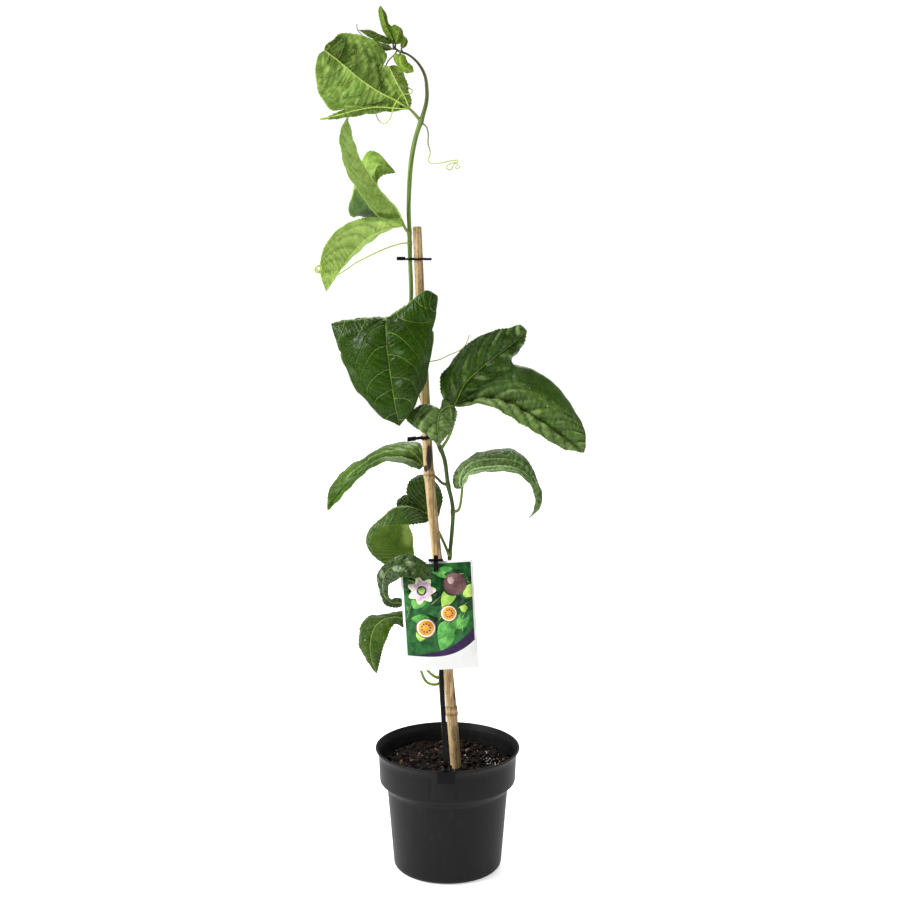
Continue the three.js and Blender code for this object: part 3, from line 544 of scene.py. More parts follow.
@dataclass(frozen=True)
class LeafFinish:
    """The look of a leaf: a glossy upper face and a matt underside, both with paler veins.

    Gap is the distance between side veins and ripple the height of the ripples between them, in
    millimetres. The shows, fleck, the contrast and the flank highlight are strengths from 0 to 1.
    The contrast sets painted highlights on the ripple crests and painted shade in their troughs
    and in the valleys by the side veins. The flank highlight is a painted highlight on one flank of
    each bulge, and the bloom colour is partly waxy bloom and partly painted sheen.
    """

    name: str
    gap: float
    upper: Tones
    under: Tones
    gloss: float = 0.34
    upper_show: float = 0.3
    under_show: float = 0.4
    fleck: float = 0.0
    shine: float = 0.3
    bloom_and_painted_light: str = "#86a35c"
    ripple: float = 0.5
    painted_light_contrast: float = 0.45
    flank_highlight: float = 0.0

    def lines(self, shader: Shader) -> tuple[Socket, Socket, Socket, Socket]:
        """Finds the veins.

        Args:
            shader: The shader of one face.

        Returns:
            Where the midrib, the side veins and the domes between them are, and the flanks that get a
            painted highlight, from 0 to 1.
        """
        away_from_rib, phase = shader.pair("veins")
        outward, along = shader.pair("blade")
        rib_width = shader.minus(0.85, shader.times(along, 0.5))
        rib = shader.span(shader.math("DIVIDE", away_from_rib, rib_width), 1.2, 0.5)
        turned = shader.math("FRACT", shader.plus(phase, 0.5))
        away = shader.times(shader.math("ABSOLUTE", shader.minus(turned, 0.5)), self.gap)
        taper = shader.span(outward, 1.0, 0.6, 0.25, 1.0)
        side_vein = shader.times(shader.span(away, 0.6, 0.25), taper)
        # The flank of each bulge that gets a painted highlight, a little way from the midrib.
        uneven = shader.times(shader.minus(shader.noise(130, 3, 0.6), 0.5), 0.5)
        turn = shader.plus(shader.math("FRACT", phase), uneven)
        lit_flank = shader.times(shader.span(turn, 0.1, 0.28), shader.span(turn, 0.58, 0.38))
        inside = shader.times(shader.span(away_from_rib, 0.8, 4.0), shader.span(away_from_rib, 20, 12))
        inside = shader.times(inside, shader.span(shader.noise(75, 2), 0.38, 0.6))
        lit_flank = shader.times(lit_flank, inside)
        return rib, side_vein, shader.span(away, 0.4, min(0.3 * self.gap, 3.2)), lit_flank

    @cache
    def material(self, face: Face) -> Material:
        """Makes the material of one face of the leaf.

        Args:
            face: The face.

        Returns:
            The material.
        """
        upper = face is Face.UPPER
        tones, show = (self.upper, self.upper_show) if upper else (self.under, self.under_show)
        main, pale, vein = tones.main, tones.pale, tones.vein
        shader = Shader(bpy.data.materials.new(f"{self.name}_{face.value}"))
        outward, along = shader.pair("blade")
        rib, side_vein, dome, lit_flank = self.lines(shader)
        # The first channel holds waxy bloom with painted sheen, painted highlights and, below 0, painted
        # shade; the second the ripple heights.
        bloom_and_painted_light_share, ripples = shader.pair("bloom_and_painted_light")
        colour = shader.mix(shader.span(shader.noise(34, 4, 0.6), 0.34, 0.68), main, pale)
        # Painted highlight on the ripple crests and painted shade in their troughs.
        lit_crest = shader.times(ripples, shader.span(outward, 1.0, 0.5, 0.2, 1))
        colour = shader.mix(shader.times(lit_crest, self.painted_light_contrast), colour, pale)
        shaded_trough = shader.times(shader.minus(1.0, ripples), self.painted_light_contrast)
        colour = shader.mix(shaded_trough, colour, main)
        # Painted shade in the valleys along the side veins.
        depth = min(0.4, 0.6 * self.painted_light_contrast)
        shaded_valley = shader.minus(depth, shader.times(dome, depth))
        colour = shader.mix(shaded_valley, colour, "#75875f", "MULTIPLY")
        # Pale waxy bloom with painted sheen, strongest on the ripple crests.
        crest_sheen = shader.plus(shader.times(lit_crest, 0.7), shader.times(dome, 0.2))
        crest_sheen = shader.plus(crest_sheen, 0.2)
        paler = self.bloom_and_painted_light if upper else vein
        colour = shader.mix(shader.times(bloom_and_painted_light_share, crest_sheen, clamp=True), colour, paler)
        # A painted highlight on one flank of each bulge.
        if self.flank_highlight:
            colour = shader.mix(shader.times(lit_flank, self.flank_highlight), colour, self.bloom_and_painted_light)
        # Painted shade where the leaf's patches fall below 0.
        painted_shade = shader.times(bloom_and_painted_light_share, -1.0, clamp=True)
        colour = shader.mix(painted_shade, colour, "#94a278", "MULTIPLY")
        net = shader.span(shader.cells(420, "DISTANCE_TO_EDGE"), 0.09, 0.015)
        colour = shader.mix(shader.times(net, 0.08 if upper else 0.15), colour, vein)
        colour = shader.mix(shader.times(side_vein, show), colour, vein)
        colour = shader.mix(shader.span(outward, 0.96, 1.0, 0, 0.4), colour, vein)
        faded = shader.times(rib, shader.minus(0.95, shader.times(along, 0.4)))
        colour = shader.mix(faded, colour, vein)
        if self.fleck:
            spots = shader.span(shader.cells(210, "F1"), 0.2, 0.1)
            chosen = shader.span(shader.noise(90, 1), 0.52, 0.6)
            spots = shader.times(shader.times(spots, chosen), self.fleck)
            colour = shader.mix(spots, colour, "#b5b552")
        fine = shader.bump(shader.noise(1500, 2), 0.000008)
        sink = shader.plus(shader.times(net, 0.4), side_vein)
        if upper:
            sink = shader.minus(1.4, sink)
        normal = shader.bump(sink, 0.00012, fine)
        worn = shader.span(shader.noise(120, 3), 0.3, 0.7, -0.06, 0.08)
        roughness = shader.plus(worn, self.gloss if upper else 0.62)
        return shader.dress(colour, roughness, normal, Specular_IOR_Level=self.shine if upper else 0.12)


@dataclass(frozen=True)
class StalkFinish:
    """Smooth green tissue, darker towards the bottom, with a blush where the sun has caught it.

    The blush sets in between the two heights of its span, in metres, and reaches further round
    the lower its shaded number is.
    """

    name: str
    green: str
    pale: str
    blush: str
    blush_span: tuple[float, float] = (10.0, 11.0)
    low_darkening: float = 0.0
    shaded: float = -0.1

    @cache
    def material(self) -> Material:
        """Makes the material.

        Returns:
            The material, with fine streaks along the tissue.
        """
        shader = Shader(bpy.data.materials.new(self.name))
        turn, along = shader.pair("blade")
        place = shader.node("CombineXYZ", {0: shader.times(turn, 9), 1: shader.times(along, 45)})
        streaks = shader.noise(1.0, 3, 0.5, place.outputs[0])
        colour = shader.mix(shader.span(streaks, 0.3, 0.7), self.green, self.pale)
        # Darker and duller towards the bottom.
        low = shader.span(shader.heights(), 0.55, 0.42, 0, self.low_darkening)
        colour = shader.mix(low, colour, "#5a6b45", "MULTIPLY")
        right, _, up = shader.facing()
        sunned = shader.minus(shader.times(up, 0.5), right)
        sunned = shader.span(shader.plus(sunned, streaks), self.shaded, self.shaded + 1)
        high = shader.span(shader.heights(), *self.blush_span)
        colour = shader.mix(shader.times(sunned, high), colour, self.blush)
        relief = shader.bump(shader.plus(streaks, shader.noise(900, 2)), 0.00008)
        roughness = shader.span(shader.noise(300, 2), 0.2, 0.8, 0.4, 0.55)
        return shader.dress(colour, roughness, relief, Specular_IOR_Level=0.35)


@dataclass(frozen=True)
class Stain:
    """A stain on the cane, in millimetres, with a strength from 0 to 1."""

    centre: Point
    reach: Point
    strength: float


@dataclass(frozen=True)
class CaneFinish:
    """Dry bamboo: straw with long streaks, brown mottling and a few stains, with a painted highlight
    on its -X side and painted shade on its +X side.

    Each of the rings at its nodes has a height in millimetres and is dark or pale.
    """

    straw: str
    pale: str
    brown: str
    dark: str
    rings: tuple[tuple[float, bool], ...]
    stains: tuple[Stain, ...]

    @cache
    def material(self) -> Material:
        """Makes the material.

        Returns:
            The material of the cane's skin.
        """
        shader = Shader(bpy.data.materials.new("cane_skin"))
        streaks = shader.noise(1.0, 4, 0.6, shader.stretched((700, 700, 14)))
        colour = shader.mix(shader.span(streaks, 0.36, 0.66), self.straw, self.pale)
        mottle = shader.noise(1.0, 5, 0.65, shader.stretched((170, 170, 48)))
        colour = shader.mix(shader.span(mottle, 0.48, 0.7, 0, 0.7), colour, self.brown)
        specks = shader.span(shader.noise(1.0, 2, 0.5, shader.stretched((800, 800, 260))), 0.58, 0.7, 0, 0.6)
        colour = shader.mix(specks, colour, self.brown)
        # Painted highlight on the -X side, towards the key light, and painted shade on the +X side.
        turned = shader.plus(shader.facing()[0], shader.times(mottle, 0.5))
        colour = shader.mix(shader.span(turned, 0.0, -0.6, 0, 0.9), colour, self.pale)
        colour = shader.mix(shader.span(turned, 0.7, 1.3, 0, 0.75), colour, self.brown)
        heights = shader.heights()
        for height, dark in self.rings:
            above = shader.plus(heights, shader.times(mottle, 0.005))
            away = shader.math("ABSOLUTE", shader.minus(above, (height + 2.5) * MM))
            near = shader.span(away, 0.0016, 0.0003, 0, 0.45)
            colour = shader.mix(near, colour, self.dark if dark else self.pale)
        for stain in self.stains:
            middle, reach = metres([stain.centre, stain.reach])
            inputs = {"Vector": shader.place, "Location": middle, "Scale": reach}
            away = shader.node("Mapping", inputs, vector_type="TEXTURE").outputs[0]
            length = shader.node("VectorMath", {0: away}, operation="LENGTH").outputs["Value"]
            ragged = shader.plus(length, shader.times(mottle, 0.9))
            colour = shader.mix(shader.span(ragged, 1.5, 1.15, 0, stain.strength), colour, self.dark)
        relief = shader.bump(shader.plus(streaks, shader.times(mottle, 0.6)), 0.00018)
        roughness = shader.span(mottle, 0.3, 0.7, 0.42, 0.62)
        return shader.dress(colour, roughness, relief, Specular_IOR_Level=0.3)


@dataclass(frozen=True)
class PlasticFinish:
    """Moulded plastic with a fine grain."""

    name: str
    colour: str
    worn: str
    roughness: float
    dust: float
    shine: float

    @cache
    def material(self) -> Material:
        """Makes the material.

        Returns:
            The material, with scuffs.
        """
        shader = Shader(bpy.data.materials.new(self.name))
        scuff = shader.span(shader.noise(70, 6, 0.7), 0.52, 0.75)
        flow = shader.span(shader.noise(1.0, 3, 0.6, shader.stretched((260, 260, 30))), 0.4, 0.8)
        marks = shader.times(shader.plus(scuff, shader.times(flow, 0.5)), self.dust)
        colour = shader.mix(marks, self.colour, self.worn)
        relief = shader.bump(shader.plus(shader.noise(2600, 2), shader.noise(220, 3)), 0.00003)
        roughness = shader.plus(shader.times(marks, 0.35), self.roughness)
        return shader.dress(colour, roughness, relief, Specular_IOR_Level=self.shine)


@dataclass(frozen=True)
class CrumbFinish:
    """Potting mix, bark or grit: rough and uneven in colour."""

    name: str
    dark: str
    light: str
    grain: float
    roughness: float = 0.9

    @cache
    def material(self) -> Material:
        """Makes the material.

        Returns:
            The material.
        """
        shader = Shader(bpy.data.materials.new(self.name))
        patches = shader.span(shader.noise(self.grain, 5, 0.7), 0.35, 0.7)
        colour = shader.mix(patches, self.dark, self.light)
        relief = shader.bump(shader.noise(self.grain * 3, 4, 0.7), 0.0005)
        return shader.dress(colour, self.roughness, relief, Specular_IOR_Level=0.12)


@dataclass(frozen=True)
class PrintFinish:
    """Printed or bare card under a thin gloss."""

    name: str
    ink: str
    shade: str
    grain: float = 140.0

    @cache
    def material(self) -> Material:
        """Makes the material.

        Returns:
            The material.
        """
        shader = Shader(bpy.data.materials.new(self.name))
        patches = shader.span(shader.noise(self.grain, 3, 0.6), 0.35, 0.65)
        colour = shader.mix(patches, self.ink, self.shade)
        relief = shader.bump(shader.noise(1800, 2), 0.00001)
        roughness = shader.span(shader.noise(60, 2), 0.3, 0.7, 0.3, 0.4)
        return shader.dress(colour, roughness, relief, Specular_IOR_Level=0.15)


PALE_LEAF = LeafFinish(
    "pale_leaf", gap=16.0,
    upper=Tones("#3f5a16", "#5b7826", "#93a840"), under=Tones("#486818", "#95b05a", "#b0c662"),
    gloss=0.38, under_show=0.4, shine=0.15, bloom_and_painted_light="#a9c66c", ripple=1.5, painted_light_contrast=0.85,
)
BRIGHT_LEAF = LeafFinish(
    "bright_leaf", gap=13.0,
    upper=Tones("#234008", "#466a16", "#7f9e42"), under=Tones("#698c2a", "#a8ca68", "#bcd676"),
    under_show=0.15, shine=0.12, bloom_and_painted_light="#bcd97e", painted_light_contrast=0.4,
)
LEFT_LEAF = LeafFinish(
    "left_leaf", gap=13.0,
    upper=Tones("#2a4306", "#456612", "#6f9238"), under=Tones("#5c7c22", "#9abb60", "#aec66a"),
    gloss=0.36, upper_show=0.3, shine=0.14, bloom_and_painted_light="#8aa65e", ripple=0.8, painted_light_contrast=0.35,
)
DARK_LEAF = LeafFinish(
    "dark_leaf", gap=17.0,
    upper=Tones("#1c3402", "#385a12", "#7f9c3c"), under=Tones("#64882a", "#98b850", "#aec66a"),
    gloss=0.27, shine=0.2, bloom_and_painted_light="#93ae66", ripple=0.6, painted_light_contrast=0.35, flank_highlight=0.5,
)
PLEATED_LEAF = replace(
    DARK_LEAF, name="pleated_leaf", gap=6.5,
    upper=Tones("#213808", "#3c5a1c", "#7f9c3c"), under=Tones("#54781c", "#7a9c3c", "#aec66a"),
    under_show=0.3, bloom_and_painted_light="#7f9a5e", ripple=0.4, painted_light_contrast=0.4, flank_highlight=0.45,
)
LOOPED_LEAF = LeafFinish(
    "looped_leaf", gap=20.0,
    upper=Tones("#182e02", "#2b480a", "#7c983c"), under=Tones("#4c6a22", "#688838", "#8ba44a"),
    gloss=0.27, upper_show=0.5, shine=0.11, bloom_and_painted_light="#7f967a", ripple=0.9, painted_light_contrast=0.6,
)
OLD_LEAF = LeafFinish(
    "old_leaf", gap=9.0,
    upper=Tones("#172a05", "#36501c", "#6f8a46"), under=Tones("#4d6c20", "#6c8a3a", "#90a550"),
    gloss=0.24, upper_show=0.25, shine=0.22, bloom_and_painted_light="#a9ba98", ripple=0.8, painted_light_contrast=0.6,
)
LOW_LEAF = replace(
    OLD_LEAF, name="low_leaf", gap=11.0, upper=Tones("#243c04", "#3f5a10", "#708a32"),
    gloss=0.34, upper_show=0.16, fleck=0.6, shine=0.12, bloom_and_painted_light="#86a35c", ripple=0.6, painted_light_contrast=0.5,
)
WRINKLED_LEAF = replace(
    OLD_LEAF, name="wrinkled_leaf", gap=5.0, upper=Tones("#21400a", "#5a7c30", "#98b070"),
    gloss=0.3, upper_show=0.4, shine=0.16, bloom_and_painted_light="#a5be84", ripple=1.2, painted_light_contrast=0.9,
)
YOUNG_LEAF = LeafFinish(
    "young_leaf", gap=5.0,
    upper=Tones("#2f440a", "#4a6014", "#62762a"), under=Tones("#405a0e", "#668426", "#768c34"),
    gloss=0.45, fleck=0.5, shine=0.1, ripple=0.3,
)
TENDER_LEAF = LeafFinish(
    "tender_leaf", gap=5.0,
    upper=Tones("#5f7c1e", "#7c9a34", "#9ab04c"), under=Tones("#86a83e", "#aac866", "#b0ca6c"),
    gloss=0.45, shine=0.1, ripple=0.3,
)
STALK = StalkFinish("stalk", "#50681f", "#829c3c", blush="#38400f", blush_span=(0.755, 0.77), shaded=-2.0)
STEM = StalkFinish(
    "stem", "#42591a", "#738c34", blush="#3c2a1c", blush_span=(0.71, 0.76), low_darkening=0.75, shaded=-0.15
)
TENDRIL = replace(
    STALK, name="tendril", green="#8fa336", pale="#b4c64c", blush="#4c4c1e", blush_span=(0.765, 0.775)
)
BROWN_TENDRIL = replace(
    STALK, name="brown_tendril", green="#93a836", pale="#b8cc4c", blush="#5d5a24", blush_span=(0.692, 0.706)
)
OLD_STALK = replace(STALK, name="old_stalk", green="#465a18", pale="#688032")
BUD = StalkFinish("gland", green="#4b5226", pale="#66702f", blush="#3a2a1a")
CANE = CaneFinish(
    straw="#8a6c40",
    pale="#cbb081",
    brown="#5b3f21",
    dark="#1d130d",
    rings=((160.5, True), (164.0, False), (168.0, True), (396.0, True), (399.5, False)),
    stains=(
        Stain((-17.0, -14.5, 410), (4.6, 9.0, 21.0), 0.3),
        Stain((-17.2, -14.5, 413), (2.9, 9.0, 14.0), 1.0),
        Stain((-20.5, -14.7, 402.5), (2.4, 8.0, 3.6), 1.0),
        Stain((7.2, -16.5, 178.6), (1.8, 6.0, 4.5), 0.9),
        Stain((6.3, -18, 142), (3.6, 7.0, 9.0), 0.45),
    ),
)
CANE_PITH = CrumbFinish("cane_pith", dark="#8d6a3e", light="#c2a06c", grain=900)
POT = PlasticFinish("pot_plastic", colour="#191919", worn="#363635", roughness=0.46, dust=0.14, shine=0.085)
BLACK_PLASTIC = PlasticFinish(
    "black_plastic", colour="#0b0b0c", worn="#2a2a2a", roughness=0.34, dust=0.1, shine=0.07
)
SOIL = CrumbFinish("soil_mix", dark="#050403", light="#1f1a15", grain=420)
BARK = CrumbFinish("bark", dark="#060404", light="#2e221b", grain=260)
TAN_BARK = CrumbFinish("tan_bark", dark="#4a3222", light="#8f7355", grain=500)
PERLITE = CrumbFinish("perlite", dark="#b5b2a8", light="#e6e3da", grain=700)
CARD = PrintFinish("card_white", "#dcdddb", "#e2e3e1", grain=40)


# The vine.

# The rows of points in a step of a lobe, and how its columns crowd towards the vein.
STEP_ROWS = 11
COLUMN_CROWDING = 1.15
TOOTH_SPACING = 3.6 * MM
WAVE_LENGTH = 17 * MM
TENDRIL_RADIUS = 0.65 * MM
# How far a vein's line is carried back past its foot, and a patch reaches through the leaf.
VEIN_LEAD = 40
PATCH_REACH = 60


@dataclass(frozen=True)
class Lobe:
    """A lobe of a leaf: points along its vein and its left and right edges, in millimetres.

    Left and right are as seen from the upper side with the tip ahead, and bloom is how pale
    those two halves are, from 0 to 1: partly the leaf's waxy bloom and partly painted sheen.
    """

    vein: list[Point]
    left: list[Point]
    right: list[Point]
    bloom_and_painted_light: tuple[float, float] = (0.0, 0.0)


@dataclass(frozen=True)
class PaintedPatch:
    """A painted highlight or sheen on a leaf, or painted shade below 0, as seen from the front, in
    millimetres.
    """

    x: float
    z: float
    wide: float
    high: float
    strength: float


@dataclass(frozen=True)
class Cleft:
    """The cleft between two lobes: the steps to it along the veins, and points along its seam."""

    step: int
    route: list[Point]


@dataclass
class Half:
    """Half a lobe: a grid of points, row by row from its vein to its edge.

    Each row has its width. Each point has its share of the way to the edge and along the lobe,
    its distance from the vein and its reach along it, its phase between the side veins, a noise
    value, its paleness from waxy bloom and painted sheen, with painted highlights and painted shade
    below 0, and the height of its ripple.
    """

    index: Array
    side: int
    seam_rows: int
    grid: Array
    width: Array
    share: Array
    along: Array
    rib: Array
    reach: Array
    phase: Array
    wander: Array
    bloom_and_painted_light: Array | None = None
    ripple: Array | None = None

    def quads(self) -> list[tuple[list[int], Array]]:
        """Makes the faces.

        Returns:
            The faces, upper side out, each with its corners' surface coordinates.
        """
        made = []
        rows, columns = self.index.shape
        layers = (self.share, self.along, self.rib / MM, self.phase, self.bloom_and_painted_light, self.ripple)
        places = np.stack(layers, axis=-1)
        for i in range(rows - 1):
            for j in range(columns - 1):
                corners = [(i, j), (i + 1, j), (i + 1, j + 1), (i, j + 1)]
                if self.side < 0:
                    corners.reverse()
                unique = {self.index[c]: c for c in corners}
                inner = 0.9 if self.seam_rows and i < self.seam_rows else 1.0
                made.append((list(unique), [places[c] * (inner, 1, 1, 1, 1, 1) for c in unique.values()]))
        return made


@dataclass
class Leaf:
    """A leaf with its stalk, as one piece, with lengths in millimetres.

    Folds are shares of half its width, on the left below 0, and the span of its bloom and painted
    sheen is in shares of a lobe's length. Its patches of painted highlight and painted shade lie
    about one y. A grown leaf has ribs below and two glands on its stalk.
    """

    node: str
    finish: LeafFinish
    base: Point
    petiole: list[Point]
    lobes: list[Lobe]
    clefts: list[Cleft] = field(default_factory=list)
    steps: int = 9
    columns: int = 26
    pleat: float = 1.1
    crinkle: float = 0.3
    wave: float = 0.5
    tooth: float = 0.9
    lean: float = 0.4
    curl: float = 24.0
    weave: float = 0.35
    crown: float = 0.1
    pleat_width: float = 60.0
    bloom_and_sheen_width: float = 30.0
    bloom_and_sheen_span: tuple[float, float] = (-1.0, 2.0)
    # Painted highlights and sheen, or painted shade below 0.
    patches: tuple[PaintedPatch, ...] = ()
    patch_y: float = 0.0
    folds: tuple[float, ...] = ()
    thickness: float = 0.4
    stalk_radius: float = 1.3
    stalk_finish: StalkFinish = STALK
    slot: str = "leaf"
    grown: bool = True
    points: list[Array] = field(default_factory=list, repr=False)
    halves: list[Half] = field(default_factory=list, repr=False)
    veins: list[Array] = field(default_factory=list, repr=False)

    def put(self, points: Array) -> Array:
        """Adds points to the blade and returns their numbers."""
        self.points += list(points)
        return np.arange(len(self.points) - len(points), len(self.points))

    def margin(self, lobe: Lobe, side: int, seam: Array | None, vein: Array) -> tuple[Array, Array]:
        """The edge of half a lobe: the seam, then the margin to the tip.

        Args:
            lobe: The lobe.
            side: 1 for its left half, -1 for its right.
            seam: The numbers of the seam's points, or None without a neighbour.
            vein: The points of the vein.

        Returns:
            The edge's smooth points, and how far teeth and waves push them.
        """
        rows = len(vein) - 1
        start = len(seam) - 1 if seam is not None else 0
        seam_points = np.array([self.points[i] for i in seam]) if seam is not None else vein[:1]
        side_points = metres(lobe.left if side > 0 else lobe.right)
        free = spline(np.vstack([seam_points[-1:], side_points, vein[-1:]]), rows - start + 1)
        edge = np.vstack([seam_points[:-1], free])
        distance = lengths(free)
        turn = (distance / TOOTH_SPACING) % 1.0
        saw = np.where(turn < 0.75, turn / 0.75, (1 - turn) / 0.25) ** 1.3
        ends = smooth_step(0, 5 * MM, distance) * smooth_step(0, 4 * MM, distance[-1] - distance)
        outward = unit(free - vein[start:])
        push = np.zeros_like(edge)
        uneven = np.array([0.9 + 1.3 * noise.noise(Vector((d * 90, side, 0.5))) for d in distance])
        push[start:] = outward * (self.tooth * MM * saw * ends * uneven)[:, None]
        forward = unit(np.gradient(vein, axis=0))[start:]
        up = side * np.cross(forward, outward)
        wave = np.sin(distance / WAVE_LENGTH * 2 * math.pi + 1.3 * side) * self.wave * MM * ends
        push[start:] += up * wave[:, None]
        return edge, push

    def grow_half(self, lobe: Lobe, side: int, seam: Array | None, vein: Array, vein_index: Array) -> Half:
        """Adds the points of half a lobe.

        Args:
            lobe: The lobe.
            side: 1 for its left half, -1 for its right.
            seam: The numbers of the seam's points, or None.
            vein: The points of the vein.
            vein_index: The numbers of the vein's points.

        Returns:
            The half.
        """
        rows, columns = len(vein) - 1, self.columns
        edge, push = self.margin(lobe, side, seam, vein)
        across = edge - vein
        width = np.linalg.norm(across, axis=1)
        up = side * unit(np.cross(np.gradient(vein, axis=0), across))
        share = (np.arange(columns + 1) / columns) ** COLUMN_CROWDING
        lift = self.crown * width[:, None] * 4 * share * (1 - share)
        grid = vein[:, None] + share[None, :, None] * across[:, None] + lift[..., None] * up[:, None]
        grid += (share**5)[None, :, None] * push[:, None]
        index = np.zeros((rows + 1, columns + 1), dtype=int)
        index[:, 0] = vein_index
        index[-1] = vein_index[-1]
        index[1:-1, 1:-1] = self.put(grid[1:-1, 1:-1].reshape(-1, 3)).reshape(rows - 1, columns - 1)
        start = 0
        if seam is not None:
            start = len(seam) - 1
            index[: start + 1, -1] = seam
        index[start + 1 : -1, -1] = self.put(grid[start + 1 : -1, -1])
        if seam is None:
            index[0, -1] = 0
        along = np.broadcast_to(np.linspace(0, 1, rows + 1)[:, None], index.shape)
        shares = np.broadcast_to(share, index.shape)
        rib, reach = self.from_vein(grid, vein)
        wander = np.array([grain(p, 45) + 0.15 * grain(p, 130) for p in grid.reshape(-1, 3)])
        curl = self.curl * MM * (0.45 + 0.55 * width / width.max())[:, None]
        turned = self.lean * rib + curl * (rib / curl) ** 3.5
        phase = (reach - turned) / (self.finish.gap * MM) + (0.4 if side < 0 else 0.0)
        wander = wander.reshape(phase.shape)
        phase += 0.13 * wander
        half = Half(index, side, start, grid, width, shares, along, rib, reach, phase, wander)
        half.bloom_and_painted_light = self.painted_light_and_bloom(half, lobe.bloom_and_painted_light[0 if side > 0 else 1])
        half.ripple = self.ripples(half)
        self.crease(half)
        return half

    def painted_light_and_bloom(self, half: Half, strength: float) -> Array:
        """How pale half a lobe is from waxy bloom and painted sheen, with the leaf's painted patches.

        Args:
            half: Half a lobe.
            strength: Its own bloom and painted sheen.

        Returns:
            The bloom, painted sheen and painted shade at each point.
        """
        first, last = self.bloom_and_sheen_span
        bloom_and_painted_light = strength * smooth_step(0.0, 0.12, half.share)
        bloom_and_painted_light = bloom_and_painted_light * smooth_step(first - 0.2, first + 0.1, half.along)
        bloom_and_painted_light = bloom_and_painted_light * (1 - smooth_step(last - 0.25, last + 0.1, half.along))
        bloom_and_painted_light = bloom_and_painted_light * (1 - smooth_step(0.8, 1.1, half.rib / (self.bloom_and_sheen_width * MM)))
        if half.seam_rows:
            joined = (np.arange(len(bloom_and_painted_light)) <= half.seam_rows)[:, None]
            bloom_and_painted_light = bloom_and_painted_light * (1 - smooth_step(0.7, 1.0, half.share) * joined)
        # Each patch paints a highlight, or painted shade below 0.
        for painted_patch in self.patches:
            gaps = half.grid / MM - (painted_patch.x, self.patch_y, painted_patch.z)
            away = np.linalg.norm(gaps / (painted_patch.wide, PATCH_REACH, painted_patch.high), axis=2)
            bloom_and_painted_light = bloom_and_painted_light + painted_patch.strength * (1 - smooth_step(0.6, 1.1, away + 0.5 * half.wander))
        return bloom_and_painted_light

    def ripples(self, half: Half) -> Array:
        """The ripples between side veins, square to them.

        Args:
            half: Half a lobe.

        Returns:
            The ripples' heights, from 0 to 1.
        """
        steps = np.linspace(0, 0.09, 181)
        slope = self.lean + 3.5 * (steps / (self.curl * MM)) ** 2.5
        drift = np.cumsum(1 / np.maximum(slope, 0.7)) * (steps[1] - steps[0])
        weave = (half.reach + self.weave * np.interp(half.rib, steps, drift)) / MM
        places = zip(weave.ravel() * 0.5, half.phase.ravel() * 0.07 * self.finish.gap)
        values = [noise.noise(Vector((*place, half.side))) for place in places]
        return np.clip(0.5 + 1.5 * np.array(values), 0, 1).reshape(half.rib.shape)

    def crease(self, half: Half) -> None:
        """Creases half a lobe along the leaf's folds and paints a highlight along each crease.

        Args:
            half: Half a lobe.
        """
        for fold in self.folds:
            if fold * half.side > 0:
                continue
            away = (half.share - abs(fold) + 0.07 * half.wander) * half.width[:, None] / MM
            fade = 1 - smooth_step(0.45, 0.8, half.along + 0.3 * half.wander)
            broken = 0.75 + 0.25 * np.sin(half.reach / (0.55 * MM) + 9 * fold)
            crease = np.exp(-((away / 0.8) ** 2)) * fade * broken
            half.ripple = np.maximum(half.ripple, crease)
            # Paints a highlight along the crease.
            half.bloom_and_painted_light = half.bloom_and_painted_light + 1.2 * crease

    def from_vein(self, grid: Array, vein: Array) -> tuple[Array, Array]:
        """How far each point is from a vein, and how far along it the nearest place is.

        Args:
            grid: The points, in rows and columns.
            vein: The vein's points.

        Returns:
            The distances and the places.
        """
        back = vein[0] - np.arange(VEIN_LEAD, 0, -1)[:, None] * MM * unit(vein[4] - vein[0])
        line = np.vstack([back, vein])
        gaps = np.linalg.norm(grid[:, :, None] - line, axis=3)
        return gaps.min(axis=2), (lengths(line) - VEIN_LEAD * MM)[gaps.argmin(axis=2)]

    def grow(self) -> None:
        """Lays out all the lobes' points."""
        rows = self.steps * STEP_ROWS
        base = metres([self.base])
        self.put(base)
        seams: list[Array | None] = [None]
        for cleft in self.clefts:
            line = spline(np.vstack([base, metres(cleft.route)]), cleft.step * STEP_ROWS + 1)
            seams.append(np.concatenate([[0], self.put(line[1:])]))
        seams.append(None)
        for number, lobe in enumerate(self.lobes):
            vein = spline(np.vstack([base, metres(lobe.vein)]), rows + 1)
            vein_index = np.concatenate([[0], self.put(vein[1:])])
            self.veins.append(vein_index)
            for side, seam in ((1, seams[number]), (-1, seams[number + 1])):
                self.halves.append(self.grow_half(lobe, side, seam, vein, vein_index))

    def soften(self, points: Array, faces: Faces, passes: int = 40) -> Array:
        """Smooths the blade across the seams between its lobes.

        Args:
            points: The blade's points.
            faces: Its faces.
            passes: How often each point moves towards its neighbours.

        Returns:
            The smoothed points.
        """
        loose = np.zeros(len(points))
        for half in self.halves:
            if not half.seam_rows:
                continue
            end = half.seam_rows / (half.index.shape[0] - 1)
            near = half.share**2 * (1 - smooth_step(end, end + 0.14, half.along))
            np.maximum.at(loose, half.index, near)
        for half in self.halves:
            loose[half.index[:, 0]] = 0
            loose[half.index[half.seam_rows + (half.seam_rows > 0) :, -1]] = 0
        pairs = {(min(a, b), max(a, b)) for f in faces for a, b in zip(f, [*f[1:], f[0]])}
        ends = np.array(sorted(pairs))
        degree = np.bincount(ends.ravel(), minlength=len(points))[:, None]
        for _ in range(passes):
            total = np.zeros_like(points)
            np.add.at(total, ends[:, 0], points[ends[:, 1]])
            np.add.at(total, ends[:, 1], points[ends[:, 0]])
            points = points + (0.5 * loose)[:, None] * (total / np.maximum(degree, 1) - points)
        return points

